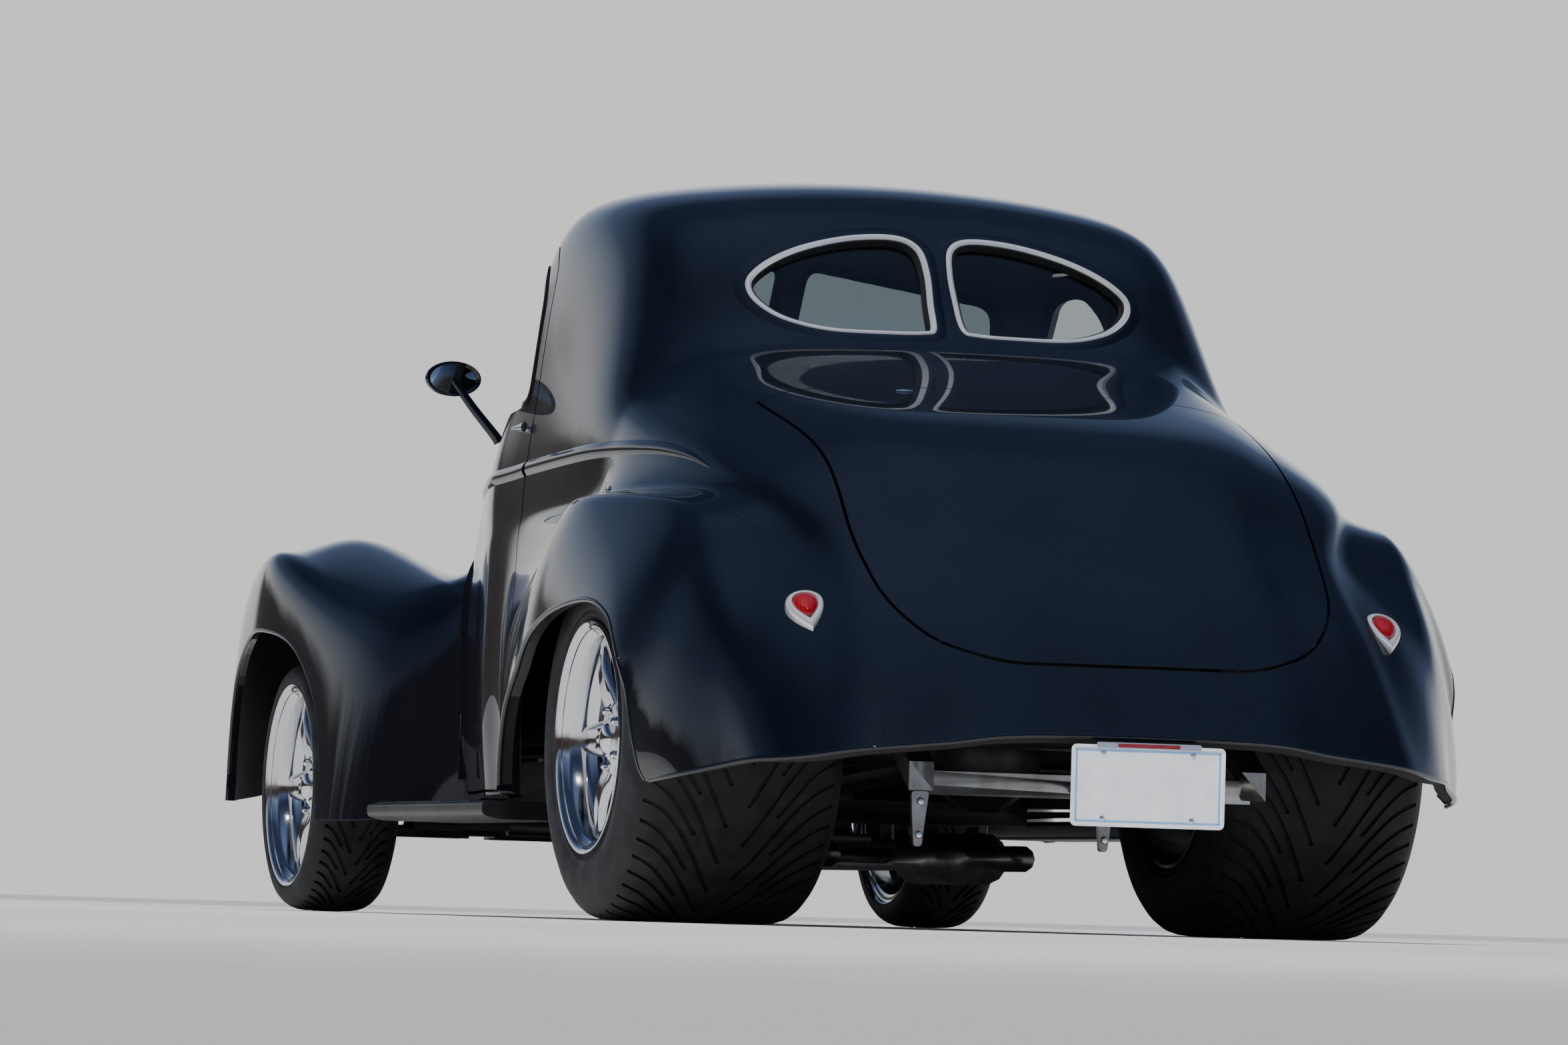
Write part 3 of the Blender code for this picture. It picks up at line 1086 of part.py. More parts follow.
def make_steering_wheel():
    """A thin rim on three spokes, made about X and then laid on its column."""
    angles = [math.tau * i / STEERING_RIM_SIDES for i in range(STEERING_RIM_SIDES)]
    ring = [(STEERING_RADIUS + STEERING_RIM * math.cos(a), STEERING_RIM * math.sin(a)) for a in angles]
    pieces = [lathe("steering_rim", ring, STEERING_STEPS)]
    pieces.append(rod("boss", (-BOSS_BACK, 0, 0), (BOSS_FRONT, 0, 0), BOSS_RADIUS, HUB_STEPS))
    for i in range(STEERING_SPOKES):
        low = (-STEERING_SPOKE_WALL, -STEERING_SPOKE_HALF, BOSS_RADIUS / 2)
        spoke = box("steering_spoke", low, (STEERING_SPOKE_WALL, STEERING_SPOKE_HALF, STEERING_RADIUS))
        spoke.data.transform(Matrix.Rotation(math.tau * (i + 0.25) / STEERING_SPOKES, 4, "X"))
        pieces.append(spoke)
    wheel = united("steering_wheel", pieces, BLACK_TRIM)
    turned_to(wheel, column_way)
    wheel.location = STEERING_CENTRE


make_steering_wheel()

# Lamps, mirrors and the plate
TAIL_X = 0.590
TAIL_Y = 1.85
TAIL_Z = 0.600
TAIL_RADIUS = 0.039
TAIL_PROUD = 0.018
TAIL_DEPTH = 0.045
TAIL_WAY_SHARES = (0.45, 0.80, 0.40)
MIRROR_FOOT = Vector((0.665, -0.24, 1.04))
MIRROR_HEAD = Vector((0.755, -0.26, 1.157))
MIRROR_RADIUS = 0.062
MIRROR_HEIGHT_SHARE = 0.62
MIRROR_STALK = 0.009
MIRROR_GAP = 0.0020
# Section of the mirror's shell: radius and depth as shares of its radius
MIRROR_SHARES = ((0.0, -0.36), (1.0, -0.18), (1.0, 0.0), (0.7, 0.55), (0.0, 0.82))
TAIL_STEPS = 12
PLATE_WIDTH = 0.310
PLATE_HEIGHT = 0.156
PLATE_WALL = 0.004
PLATE_Y = 2.140
PLATE_Z = 0.282
BRACKET_HALF = 0.030
BRACKET_RISE = 0.010
for side, word in SIDES:
    lamp_line = [
        (0, -TAIL_DEPTH), (TAIL_RADIUS, -TAIL_DEPTH), (TAIL_RADIUS, TAIL_PROUD / 2),
        (TAIL_RADIUS / 2, TAIL_PROUD), (0, TAIL_PROUD),
    ]
    lamp = lathe(f"taillight_{word}", lamp_line, TAIL_STEPS, PARTS, RED_LENS, closed=False)
    way_x, way_y, way_z = TAIL_WAY_SHARES
    moved(turned_to(lamp, (side * way_x, way_y, way_z)), (side * TAIL_X, TAIL_Y, TAIL_Z))
    boolean(lamp, sheet(f"tail_room_{word}", skin_mesh.copy(), TAIL_DEPTH * 2, inset=-SEAT_GAP * 3))

    foot = Vector((side * MIRROR_FOOT.x, MIRROR_FOOT.y, MIRROR_FOOT.z))
    head = Vector((side * MIRROR_HEAD.x, MIRROR_HEAD.y, MIRROR_HEAD.z))
    inward = Vector((side * (DOOR_INNER_X + OVERRUN), foot.y, foot.z))
    shell_line = [(MIRROR_RADIUS * radius, MIRROR_RADIUS * depth) for radius, depth in MIRROR_SHARES]
    shell = lathe("mirror_shell", shell_line, TAIL_STEPS, closed=False)
    turned_to(shell, (0, -1, 0))
    shell.data.transform(Matrix.Diagonal((1, 1, MIRROR_HEIGHT_SHARE, 1)))
    moved(shell, head)
    stalk = tube("stalk", [inward, foot, head], MIRROR_STALK, 1)
    mirror = united(f"mirror_{word}", [shell, stalk], BLACK_PAINT)
    boolean(mirror, sheet(f"mirror_room_{word}", skin_mesh.copy(), OVERRUN * 2, inset=-MIRROR_GAP))

plate_low = PLATE_Z - PLATE_HEIGHT / 2
bracket_y = y_at(CROSS_SHARES[3][0]) + CROSS_WIDTH / 2 + SEAT_GAP
blank_low = (-PLATE_WIDTH / 2, PLATE_Y - PLATE_WALL, plate_low)
bracket_high = (BRACKET_HALF, PLATE_Y - PLATE_WALL / 2, CROSS_Z + BRACKET_RISE)
plate_pieces = [
    box("blank", blank_low, (PLATE_WIDTH / 2, PLATE_Y, plate_low + PLATE_HEIGHT)),
    box("bracket", (-BRACKET_HALF, bracket_y, CROSS_Z - BRACKET_RISE), bracket_high),
]
united("plate", plate_pieces, WHITE_PLATE)

# Round surfaces are shaded smooth, with the edges sharper than this left crisp
CRISP_ANGLE = math.radians(35)
for obj in PARTS.objects:
    obj.data.shade_smooth()
    obj.data.set_sharp_from_angle(angle=CRISP_ANGLE)
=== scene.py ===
# %% [markdown]
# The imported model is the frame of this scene. It brings the solids, the bodies that they
# ride on and the record. Every piece made here is in metres in that same frame, so nothing
# has to be fitted: +X is the car's left side, the nose points to -Y and +Z is up.
# %% Load the frame
import math

import bmesh
import bpy
import numpy as np
from mathutils import Matrix, Vector, interpolate
from mathutils.bvhtree import BVHTree


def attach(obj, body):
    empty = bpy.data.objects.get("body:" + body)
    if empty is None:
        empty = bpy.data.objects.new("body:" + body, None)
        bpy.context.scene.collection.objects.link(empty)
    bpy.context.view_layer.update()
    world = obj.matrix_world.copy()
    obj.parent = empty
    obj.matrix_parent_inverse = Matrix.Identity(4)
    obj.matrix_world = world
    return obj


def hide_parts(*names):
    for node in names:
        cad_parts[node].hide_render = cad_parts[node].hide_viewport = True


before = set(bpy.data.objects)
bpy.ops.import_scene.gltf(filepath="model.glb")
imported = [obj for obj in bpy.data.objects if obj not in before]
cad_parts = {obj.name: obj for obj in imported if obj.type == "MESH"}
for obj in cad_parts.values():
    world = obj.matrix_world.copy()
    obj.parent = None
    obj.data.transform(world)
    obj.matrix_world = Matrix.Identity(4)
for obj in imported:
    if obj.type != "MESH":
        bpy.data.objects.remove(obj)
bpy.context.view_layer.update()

SIDES = ((1, "left"), (-1, "right"))

# %% [markdown]
# The camera stands low behind the car's left rear corner with a long lens, as a
# photographer who crouches far away would. A long lens keeps the near fender from
# swelling. It could be aimed with a Track To constraint, but here three turns give its
# matrix directly, because the horizon leans a little.
# %% Camera
CAMERA_PLACE = Vector((5.025, 16.101, 0.020))
CAMERA_YAW = math.radians(17.08)
CAMERA_PITCH = math.radians(2.87)
CAMERA_ROLL = math.radians(1.62)
CAMERA_LENS = 180.0

level_ahead = Vector((-math.sin(CAMERA_YAW), -math.cos(CAMERA_YAW), 0))
level_right = Vector((-math.cos(CAMERA_YAW), math.sin(CAMERA_YAW), 0))
ahead = level_ahead * math.cos(CAMERA_PITCH) + Vector((0, 0, math.sin(CAMERA_PITCH)))
plumb_up = -level_ahead * math.sin(CAMERA_PITCH) + Vector((0, 0, math.cos(CAMERA_PITCH)))
right = level_right * math.cos(CAMERA_ROLL) + plumb_up * math.sin(CAMERA_ROLL)
up = -level_right * math.sin(CAMERA_ROLL) + plumb_up * math.cos(CAMERA_ROLL)
camera_data = bpy.data.cameras.new("camera")
camera_data.lens = CAMERA_LENS
camera_data.clip_end = 200
camera = bpy.data.objects.new("camera", camera_data)
bpy.context.scene.collection.objects.link(camera)
camera.matrix_world = Matrix.Translation(CAMERA_PLACE) @ Matrix((right, up, -ahead)).transposed().to_4x4()
bpy.context.scene.camera = camera
print("camera looks along", tuple(round(v, 3) for v in ahead))

# %% [markdown]
# A material here is one Principled shader with a few nodes that give it the marks of its
# making. Colours are written as sRGB hex values, as a paint chart gives them, and one
# function turns them into the linear values that Blender mixes in.
# %% Helpers for materials
NOISE = "ShaderNodeTexNoise"
CELLS = "ShaderNodeTexVoronoi"
# Where patches of the low value end and those of the high value begin
PATCH_STOPS = (0.35, 0.65)
# The distance between two bands of a wave texture at scale 1
WAVE_PERIOD = 0.314


def linear(code):
    """An sRGB hex colour as linear RGBA."""
    parts = [int(code[i : i + 2], 16) / 255 for i in (1, 3, 5)]
    return (*[c / 12.92 if c <= 0.04045 else ((c + 0.055) / 1.055) ** 2.4 for c in parts], 1.0)


def add(tree, kind, links=(), **settings):
    """One node with its settings, and its inputs given values or linked to sockets."""
    made = tree.nodes.new(kind)
    for name, value in settings.items():
        setattr(made, name, value)
    for name, value in dict(links).items():
        if isinstance(value, bpy.types.NodeSocket):
            tree.links.new(value, made.inputs[name])
        else:
            made.inputs[name].default_value = value
    return made


def pattern_on(material, kind, inputs, **settings):
    """A texture laid on the piece's own coordinates."""
    tree = material.node_tree
    spot = add(tree, "ShaderNodeTexCoord").outputs["Object"]
    return add(tree, kind, {"Vector": spot, **inputs}, **settings).outputs[0]


def joined_to(material, node, socket):
    shader = material.node_tree.nodes["Principled BSDF"]
    material.node_tree.links.new(node.outputs[0], shader.inputs[socket])


def relief_of(material, height, depth, socket="Normal"):
    bump = add(material.node_tree, "ShaderNodeBump", {"Height": height, "Distance": depth})
    joined_to(material, bump, socket)


def grain(material, size, depth, kind=NOISE, detail=3.0, socket="Normal"):
    """A relief whose cells are about size metres across and depth metres high."""
    inputs = {"Scale": 1 / size, "Detail": detail} if kind == NOISE else {"Scale": 1 / size}
    relief_of(material, pattern_on(material, kind, inputs), depth, socket)


def ridged(material, spacing, depth):
    """Even ridges across X, such as fins or flutes."""
    waves = {"Scale": WAVE_PERIOD / spacing}
    relief_of(material, pattern_on(material, "ShaderNodeTexWave", waves, bands_direction="X"), depth)


def varied(material, socket, low, high, size):
    """A socket that wanders between two values or colours over patches of one size."""
    patches = pattern_on(material, NOISE, {"Scale": 1 / size, "Detail": 4.0})
    ramp = add(material.node_tree, "ShaderNodeValToRGB", {"Fac": patches})
    for stop, place, value in zip(ramp.color_ramp.elements, PATCH_STOPS, (low, high)):
        stop.position = place
        stop.color = linear(value) if isinstance(value, str) else (value, value, value, 1.0)
    joined_to(material, ramp, socket)


def finish(name, colour, roughness, metallic=0.0, vary=None, relief=None, ridges=None, **sockets):
    """A material: its own values, then a socket that wanders, a relief or ridges."""
    material = bpy.data.materials.new(name)
    material.use_nodes = True
    shader = material.node_tree.nodes["Principled BSDF"]
    values = {"Base_Color": colour, "Roughness": roughness, "Metallic": metallic, **sockets}
    for socket, value in values.items():
        value = linear(value) if isinstance(value, str) else value
        shader.inputs[socket.replace("_", " ")].default_value = value
    for build, details in ((varied, vary), (grain, relief), (ridged, ridges)):
        if details:
            build(material, *details)
    return material


# %% [markdown]
# The car's paint is two-stage urethane, sprayed and then cut and polished: a black base
# with a breath of blue under a thick clear coat. The eye gets a nearly mirror-like coat
# whose reflections waver a little, which is the orange peel that polishing leaves. Its
# waves are about 8 mm across and only microns high.
# %% Paint
PEEL_SIZE = 0.008
PEEL_DEPTH = 0.0000035
black_paint = finish(
    "black_urethane_paint", "#05070d", 0.35, 0.0, ("Base Color", "#04060c", "#070b14", 0.25),
    (PEEL_SIZE, PEEL_DEPTH, NOISE, 1.0, "Coat Normal"),
    Coat_Weight=1.0, Coat_Roughness=0.015, Coat_IOR=1.55, Specular_IOR_Level=0.12,
)
print("paint waves", PEEL_SIZE * 1000, "mm across")

# %% [markdown]
# The other finishes follow the same pattern: the real surface first, then its colour and
# roughness, then the patchiness and the relief that its making or use leaves on it.
# %% Metals and glass
# Chrome plate on polished steel: a bluish white mirror with a faint haze
chrome = finish("chrome_plate", "#e4e6ea", 0.05, 1.0, ("Roughness", 0.03, 0.09, 0.12))
# Polished stainless trim: softer and whiter than plate, with the faint bloom of buffing
stainless = finish("buffed_stainless_trim", "#e9e9e8", 0.2, 0.72, ("Roughness", 0.14, 0.26, 0.06))
# Cast and polished aluminium: a warmer, slightly streaked mirror
aluminium = finish(
    "polished_aluminium", "#d7d8da", 0.12, 1.0, ("Roughness", 0.07, 0.17, 0.05), (0.004, 0.00001, NOISE, 2.0),
)
# Satin enamel on the frame: soft sheen with road dust in patches
chassis_paint = finish(
    "satin_chassis_enamel", "#1b1c1e", 0.42, 0.0, ("Base Color", "#141517", "#2b2a28", 0.09), (0.003, 0.00004),
)
# Mild steel tube, bare and slightly stained by heat
bare_steel = finish(
    "bare_steel_tube", "#9a9a9c", 0.32, 1.0, ("Base Color", "#8f8b86", "#a9abb0", 0.06), (0.002, 0.00003),
)
# Painted cast iron: coarse sand-cast skin
cast_iron = finish(
    "painted_cast_iron", "#3a3b3d", 0.55, 0.6, ("Base Color", "#2f3032", "#46474a", 0.05), (0.0025, 0.00025),
)
# Machined disc: turned steel, a little uneven
brake_steel = finish("machined_brake_steel", "#a5a6a8", 0.28, 1.0, ("Roughness", 0.22, 0.38, 0.03))
# Radiator core: rows of thin fins 3 mm apart
radiator_core = finish("radiator_core_aluminium", "#6f7173", 0.45, 0.9, ridges=(0.003, 0.001))
# Laminated glass with a light grey tint
glass = finish(
    "tinted_glass", "#a7b1b4", 0.0, 0.0, ("Roughness", 0.0, 0.015, 0.3), Transmission_Weight=1.0, IOR=1.45,
)
# Silvered mirror glass
mirror_glass = finish("silvered_mirror_glass", "#dfe4e6", 0.02, 1.0, ("Roughness", 0.01, 0.03, 0.05))
# Moulded red lens with small prisms on its back, about 5 mm apart
red_lens = finish(
    "red_acrylic_lens", "#8e070e", 0.08, relief=(0.005, 0.0006, CELLS),
    Transmission_Weight=0.25, Coat_Weight=1.0, Emission_Color="#7a0408", Emission_Strength=0.03,
)
# Clear lamp glass with moulded flutes 8 mm apart
lamp_glass = finish("fluted_lamp_glass", "#eef2f4", 0.03, ridges=(0.008, 0.0008), Transmission_Weight=0.9)

# %% Rubber, trim and cloth
# Tyre rubber: matt and dusty in patches
tyre_rubber = finish(
    "tyre_rubber", "#1a1a1b", 0.7, 0.0, ("Base Color", "#131314", "#26262a", 0.05), (0.0015, 0.00008),
)
# Extruded rubber seal: dull black
seal_rubber = finish("extruded_rubber_seal", "#121213", 0.5, 0.0, ("Roughness", 0.42, 0.6, 0.04))
# Sprayed undercoating: rough black tar-like skin
undercoat = finish(
    "sprayed_undercoat", "#101112", 0.8, 0.0, ("Base Color", "#0c0d0e", "#1b1a18", 0.12), (0.006, 0.0006),
)
# Grained vinyl: fine pebbles about 1.5 mm across
black_vinyl = finish(
    "grained_black_vinyl", "#1c1c1d", 0.5, 0.0, ("Roughness", 0.42, 0.58, 0.05), (0.0015, 0.0001, CELLS),
)
# Tan hide: pores about 2 mm apart, darker where it is handled
tan_leather = finish(
    "tan_hide", "#a3907a", 0.48, 0.0, ("Base Color", "#94816b", "#b09d87", 0.08), (0.002, 0.00025, CELLS),
)
# Cotton thread and piping in a lighter tan
piping = finish("welt_piping", "#c2b39d", 0.6, 0.0, ("Base Color", "#b3a48d", "#cdbfaa", 0.01), (0.0015, 0.0002))
# Knitted headlining, grey
headlining = finish(
    "knitted_headlining", "#4a4744", 0.9, 0.0, ("Base Color", "#403d3a", "#524f4b", 0.03), (0.002, 0.0003),
    Sheen_Weight=0.3,
)
# Loop-pile carpet, black
carpet = finish(
    "loop_pile_carpet", "#171717", 0.95, 0.0, ("Base Color", "#101010", "#222120", 0.01), (0.004, 0.002, CELLS),
    Sheen_Weight=0.4,
)
# Embossed plate metal, white enamel, and its blue border ink
plate_enamel = finish("white_plate_enamel", "#f1f3f6", 0.3, 0.0, ("Base Color", "#e9ecf1", "#f6f8fa", 0.05))
plate_ink = finish("blue_plate_ink", "#7db4e6", 0.35, 0.0, ("Base Color", "#76aee2", "#86bbea", 0.02))
# Gauge faces
gauge_face = finish("printed_gauge_face", "#e6e2d6", 0.5, 0.0, ("Base Color", "#dcd8ca", "#ece8dd", 0.02))
# Pale floor: sealed plaster-like studio floor with a slight mottling
studio_floor = finish("studio_floor", "#c9c8c4", 0.75, 0.0, ("Base Color", "#c8c7c3", "#cccbc7", 1.1))
print(len(bpy.data.materials), "materials")

# %% [markdown]
# The floor is one large plane and the studio is a soft sky: pale at the horizon and a
# deeper blue-grey overhead, so that black paint has something to mirror. Black lacquer has
# almost no colour of its own, and what the eye reads as its shape is what it mirrors. The
# soft lights are hidden from gloss, so it mirrors the sky, one dark flag and a small disc.
# %% Floor, sky and lights
FLOOR_REACH = 400.0
SKY_LEAN = 0.16
SKY_STRENGTH = 1.15
SKY_STOPS = (
    (0.0, "#e2e2e1"), (0.10, "#dfe1e5"), (0.17, "#b3bfd2"), (0.28, "#5f7093"), (0.50, "#28324a"), (0.74, "#36435e"),
    (1.0, "#677a9f"),
)
FLAG_COLOUR = "#3d352e"


def link(name, mesh, *materials):
    """An object in the scene for a mesh, with its materials."""
    obj = bpy.data.objects.new(name, mesh)
    bpy.context.scene.collection.objects.link(obj)
    for material in materials:
        mesh.materials.append(material)
    return obj


def mesh_of(name, build, *values):
    """A mesh filled by a function that works on a bmesh."""
    bm = bmesh.new()
    build(bm, *values)
    mesh = bpy.data.meshes.new(name)
    bm.to_mesh(mesh)
    bm.free()
    return mesh


def added(bm, build, *values):
    """Adds one shape, built on its own, to a larger one."""
    piece = mesh_of("piece", build, *values)
    bm.from_mesh(piece)
    bpy.data.meshes.remove(piece)


def floor_plane(bm):
    bmesh.ops.create_grid(bm, x_segments=4, y_segments=4, size=FLOOR_REACH)


link("studio_floor", mesh_of("studio_floor", floor_plane), studio_floor)

world = bpy.data.worlds.new("studio_sky")
bpy.context.scene.world = world
world.use_nodes = True
sky_tree = world.node_tree


def sky_node(kind, links, **settings):
    return add(sky_tree, kind, links, **settings).outputs[0]


def sky_sum(operation, one, two):
    return sky_node("ShaderNodeMath", {0: one, 1: two}, operation=operation)


def sky_step(value, low, high, falls=False):
    """Rises smoothly from 0 to 1 between two values, or falls."""
    ends = {"To Min": 1.0, "To Max": 0.0} if falls else {}
    links = {"Value": value, "From Min": low, "From Max": high, **ends}
    return sky_node("ShaderNodeMapRange", links, interpolation_type="SMOOTHSTEP")


way = add(sky_tree, "ShaderNodeTexCoord").outputs["Generated"]
axes = add(sky_tree, "ShaderNodeSeparateXYZ", {"Vector": way}).outputs
leaning = sky_sum("ADD", axes["Z"], sky_sum("MULTIPLY", axes["Y"], SKY_LEAN))
height = sky_node("ShaderNodeMapRange", {"Value": leaning, "From Min": -0.05, "From Max": 1.0})
ramp = add(sky_tree, "ShaderNodeValToRGB", {"Fac": height})
while len(ramp.color_ramp.elements) < len(SKY_STOPS):
    ramp.color_ramp.elements.new(0.5)
for stop, (place, code) in zip(ramp.color_ramp.elements, SKY_STOPS):
    stop.position = place
    stop.color = linear(code)
# A warm dark flag stands low on the left side, as car photographers set one up. Gloss
# mirrors its uneven top edge as a line that shows the shape of the fenders.
edge = sky_node(NOISE, {"Vector": way, "Scale": 9.0, "Detail": 3.0})
uneven = sky_sum("ADD", axes["Z"], sky_sum("MULTIPLY", edge, 0.10))
flag = sky_sum("MULTIPLY", sky_step(axes["X"], 0.06, 0.20), sky_step(uneven, 0.17, 0.24, falls=True))
colours = {"Fac": flag, "Color1": ramp.outputs[0], "Color2": linear(FLAG_COLOUR)}
background = sky_tree.nodes["Background"]
sky_tree.links.new(sky_node("ShaderNodeMixRGB", colours), background.inputs["Color"])
background.inputs["Strength"].default_value = SKY_STRENGTH


def aimed(name, kind, energy, place, aim, glossy=False, **settings):
    """A lamp at one place that points to another."""
    lamp = bpy.data.lights.new(name, kind)
    lamp.energy = energy
    for key, value in settings.items():
        setattr(lamp, key, value)
    lamp_object = bpy.data.objects.new(name, lamp)
    lamp_object.visible_glossy = glossy
    bpy.context.scene.collection.objects.link(lamp_object)
    turn = (Vector(aim) - Vector(place)).to_track_quat("-Z", "Y")
    lamp_object.matrix_world = Matrix.Translation(place) @ turn.to_matrix().to_4x4()


# Name, place, point aimed at, width, length, watts
LIGHTS = (
    ("softbox_over", (0.5, 0.6, 6.0), (0, 0, 0), 2.2, 6.0, 160),
    ("softbox_left", (7.5, 3.0, 3.6), (0.6, 0.2, 0.6), 1.6, 6.0, 200),
    ("softbox_right", (-7.5, 2.0, 4.2), (-0.6, 0.2, 0.7), 1.2, 5.0, 120),
    ("softbox_behind", (2.5, 13.0, 4.2), (0, 1.0, 0.5), 5.0, 1.4, 200),
    ("softbox_ahead", (-1.5, -10.0, 5.0), (0, -1.0, 0.7), 5.0, 1.4, 200),
)
for name, place, aim, width, length, watts in LIGHTS:
    aimed(name, "AREA", watts, place, aim, shape="RECTANGLE", size=width, size_y=length)
aimed("open_day", "SUN", 3.4, (0, 0, 0), (-0.35, -0.45, -1.0), angle=math.radians(28))
# A small bright disc stands for the sun where gloss mirrors it, as short sparkles on edges
aimed("mirrored_sun", "AREA", 70, (4.6, 11.0, 11.5), (0, 1.2, 0.8), glossy=True, shape="DISK", size=0.42)
print(len(LIGHTS), "soft lights")

# %% [markdown]
# The outer skin of such a car is one flowing surface: roof, quarters, fenders and tail melt
# into each other. It is drawn as a few cross-sections from front to rear, like the formers
# of a clay model. A smoothed cage shrinks away from its points, so the cage is solved
# backwards: it is the one whose smoothed surface passes through the sections. The same
# sections drive the solids, and here they are smoothed further and cut with rounder
# corners.
# %% Sections of the skin
WHEELBASE = 2.54
FRONT_AXLE_Y = -1.39
REAR_AXLE_Y = 1.15
HALF_WIDTH = 0.91
HEIGHT = 1.575
WALL = 0.030
FENDER_WALL = 0.022
SHUT_GAP = 0.006
SEAT_GAP = 0.0003
WELD = 0.00001
OVERRUN = 0.05
REACH = 1.2
SMOOTH_LEVELS = 4

SKIN_SHARES = (
    (0.303, 0.000, 0.000, 0.637, 0.54, 0.600, 0.650, 0.520, 0.668, 0.460, 0.680, 0.370, 0.680, 0.270, 0.665, 0.155),
    (0.350, 0.000, 0.030, 0.662, 0.57, 0.640, 0.695, 0.580, 0.705, 0.515, 0.712, 0.400, 0.712, 0.280, 0.700, 0.158),
    (0.400, 0.000, 0.048, 0.775, 0.60, 0.735, 0.738, 0.592, 0.744, 0.523, 0.750, 0.410, 0.750, 0.283, 0.735, 0.160),
    (0.470, 0.000, 0.045, 0.955, 0.63, 0.885, 0.772, 0.602, 0.778, 0.530, 0.782, 0.420, 0.782, 0.287, 0.765, 0.160),
    (0.595, 0.000, 0.000, 1.005, 0.66, 0.920, 0.772, 0.606, 0.780, 0.540, 0.787, 0.433, 0.790, 0.293, 0.775, 0.160),
    (0.783, 0.000, 0.000, 0.960, 0.63, 0.885, 0.776, 0.612, 0.785, 0.540, 0.852, 0.467, 0.923, 0.330, 0.947, 0.165),
    (0.862, 0.000, 0.000, 0.830, 0.56, 0.777, 0.755, 0.630, 0.788, 0.545, 0.879, 0.500, 0.957, 0.381, 0.985, 0.168),
    (0.941, 0.000, 0.000, 0.727, 0.57, 0.697, 0.740, 0.618, 0.792, 0.552, 0.912, 0.512, 0.984, 0.381, 1.000, 0.170),
    (1.138, 0.040, 0.000, 0.634, 0.50, 0.608, 0.676, 0.556, 0.712, 0.535, 0.855, 0.492, 0.972, 0.355, 0.978, 0.170),
    (1.240, 0.110, 0.000, 0.529, 0.42, 0.503, 0.582, 0.479, 0.640, 0.466, 0.835, 0.440, 0.935, 0.300, 0.945, 0.171),
    (1.323, 0.170, 0.000, 0.382, 0.40, 0.375, 0.604, 0.366, 0.690, 0.360, 0.835, 0.345, 0.910, 0.240, 0.930, 0.171),
    (1.382, 0.205, 0.000, 0.239, 0.41, 0.227, 0.660, 0.209, 0.725, 0.203, 0.822, 0.192, 0.879, 0.181, 0.907, 0.172),
)
LAST_ROW = 9
EAVE_ROW = 2


def mix(one, two, share):
    return one + (two - one) * share


def y_at(share):
    return FRONT_AXLE_Y + WHEELBASE * share


def section_rows(share):
    """The ten points of one half section, from the roof's centre to the lip."""
    place_share, sweep, vee, top, ex, ez, bx, bz, rx, rz, cx, cz, sx, sz, lx, lz = share
    rows = (
        (0.0, top), (0.62 * ex, mix(top, ez, 0.22)), (ex, ez), (mix(ex, bx, 0.65), mix(ez, bz, 0.55)), (bx, bz),
        (rx, rz), (mix(rx, cx, 0.55), mix(rz, cz, 0.30)), (cx, cz), (sx, sz), (lx, lz),
    )
    for row, (x, z) in enumerate(rows):
        back = vee * min(row / EAVE_ROW, 1.0) - sweep * (row / LAST_ROW) ** 2
        yield Vector((x * HALF_WIDTH, y_at(place_share + back), z * HEIGHT))


def smoothing(count, mirrored_low=False, mirrored_high=False):
    """How a smoothed row of points depends on its cage."""
    weights = np.eye(count)
    for i in range(1, count - 1):
        weights[i, i - 1 : i + 2] = (1 / 6, 4 / 6, 1 / 6)
    if mirrored_low:
        weights[0, :2] = (4 / 6, 2 / 6)
    if mirrored_high:
        weights[-1, -2:] = (2 / 6, 4 / 6)
    return weights


def through(stations, centre_row=False, centre_end=False):
    """The cage whose smoothed surface passes through these points."""
    points = np.array([[tuple(point) for point in station] for station in stations])
    count, rows = points.shape[:2]
    solved = np.linalg.solve(smoothing(count, mirrored_high=centre_end), points.reshape(count, -1))
    solved = solved.reshape(count, rows, 3).transpose(1, 0, 2).reshape(rows, -1)
    solved = np.linalg.solve(smoothing(rows, mirrored_low=centre_row), solved)
    solved = solved.reshape(rows, count, 3).transpose(1, 0, 2)
    if centre_row:
        solved[:, 0, 0] = 0.0
    if centre_end:
        solved[-1, :, 0] = 0.0
    return solved


def laid_grid(bm, points):
    """A grid whose vertices are placed on rows of points."""
    count, rows = len(points), len(points[0])
    bmesh.ops.create_grid(bm, x_segments=count - 1, y_segments=rows - 1, size=1.0)
    for vertex in bm.verts:
        i = round((vertex.co.x + 1) / 2 * (count - 1))
        j = round((vertex.co.y + 1) / 2 * (rows - 1))
        vertex.co = Vector(points[i][j])


def cage(bm, points):
    """A cage whose faces point away from the car's centre line."""
    laid_grid(bm, points)
    bmesh.ops.remove_doubles(bm, verts=bm.verts, dist=WELD)
    bmesh.ops.recalc_face_normals(bm, faces=bm.faces)
    outward = sum((face.normal.z + face.normal.x) * face.calc_area() for face in bm.faces)
    if outward < 0:
        bmesh.ops.reverse_faces(bm, faces=bm.faces)


skin_cage = mesh_of("skin_cage", cage, through([list(section_rows(share)) for share in SKIN_SHARES], centre_row=True))
print("skin cage", len(skin_cage.polygons), "faces")

# %% [markdown]
# A panel is cut from the smooth skin in its final thickness. Straight cutters with the
# panel's outline do that, with the Manifold solver, which is quick on dense closed meshes.
# The cuts leave thin triangles that would ripple a gloss surface, so the outer face takes
# its normals from the skin before it was cut.
# %% Cutting and shading panels


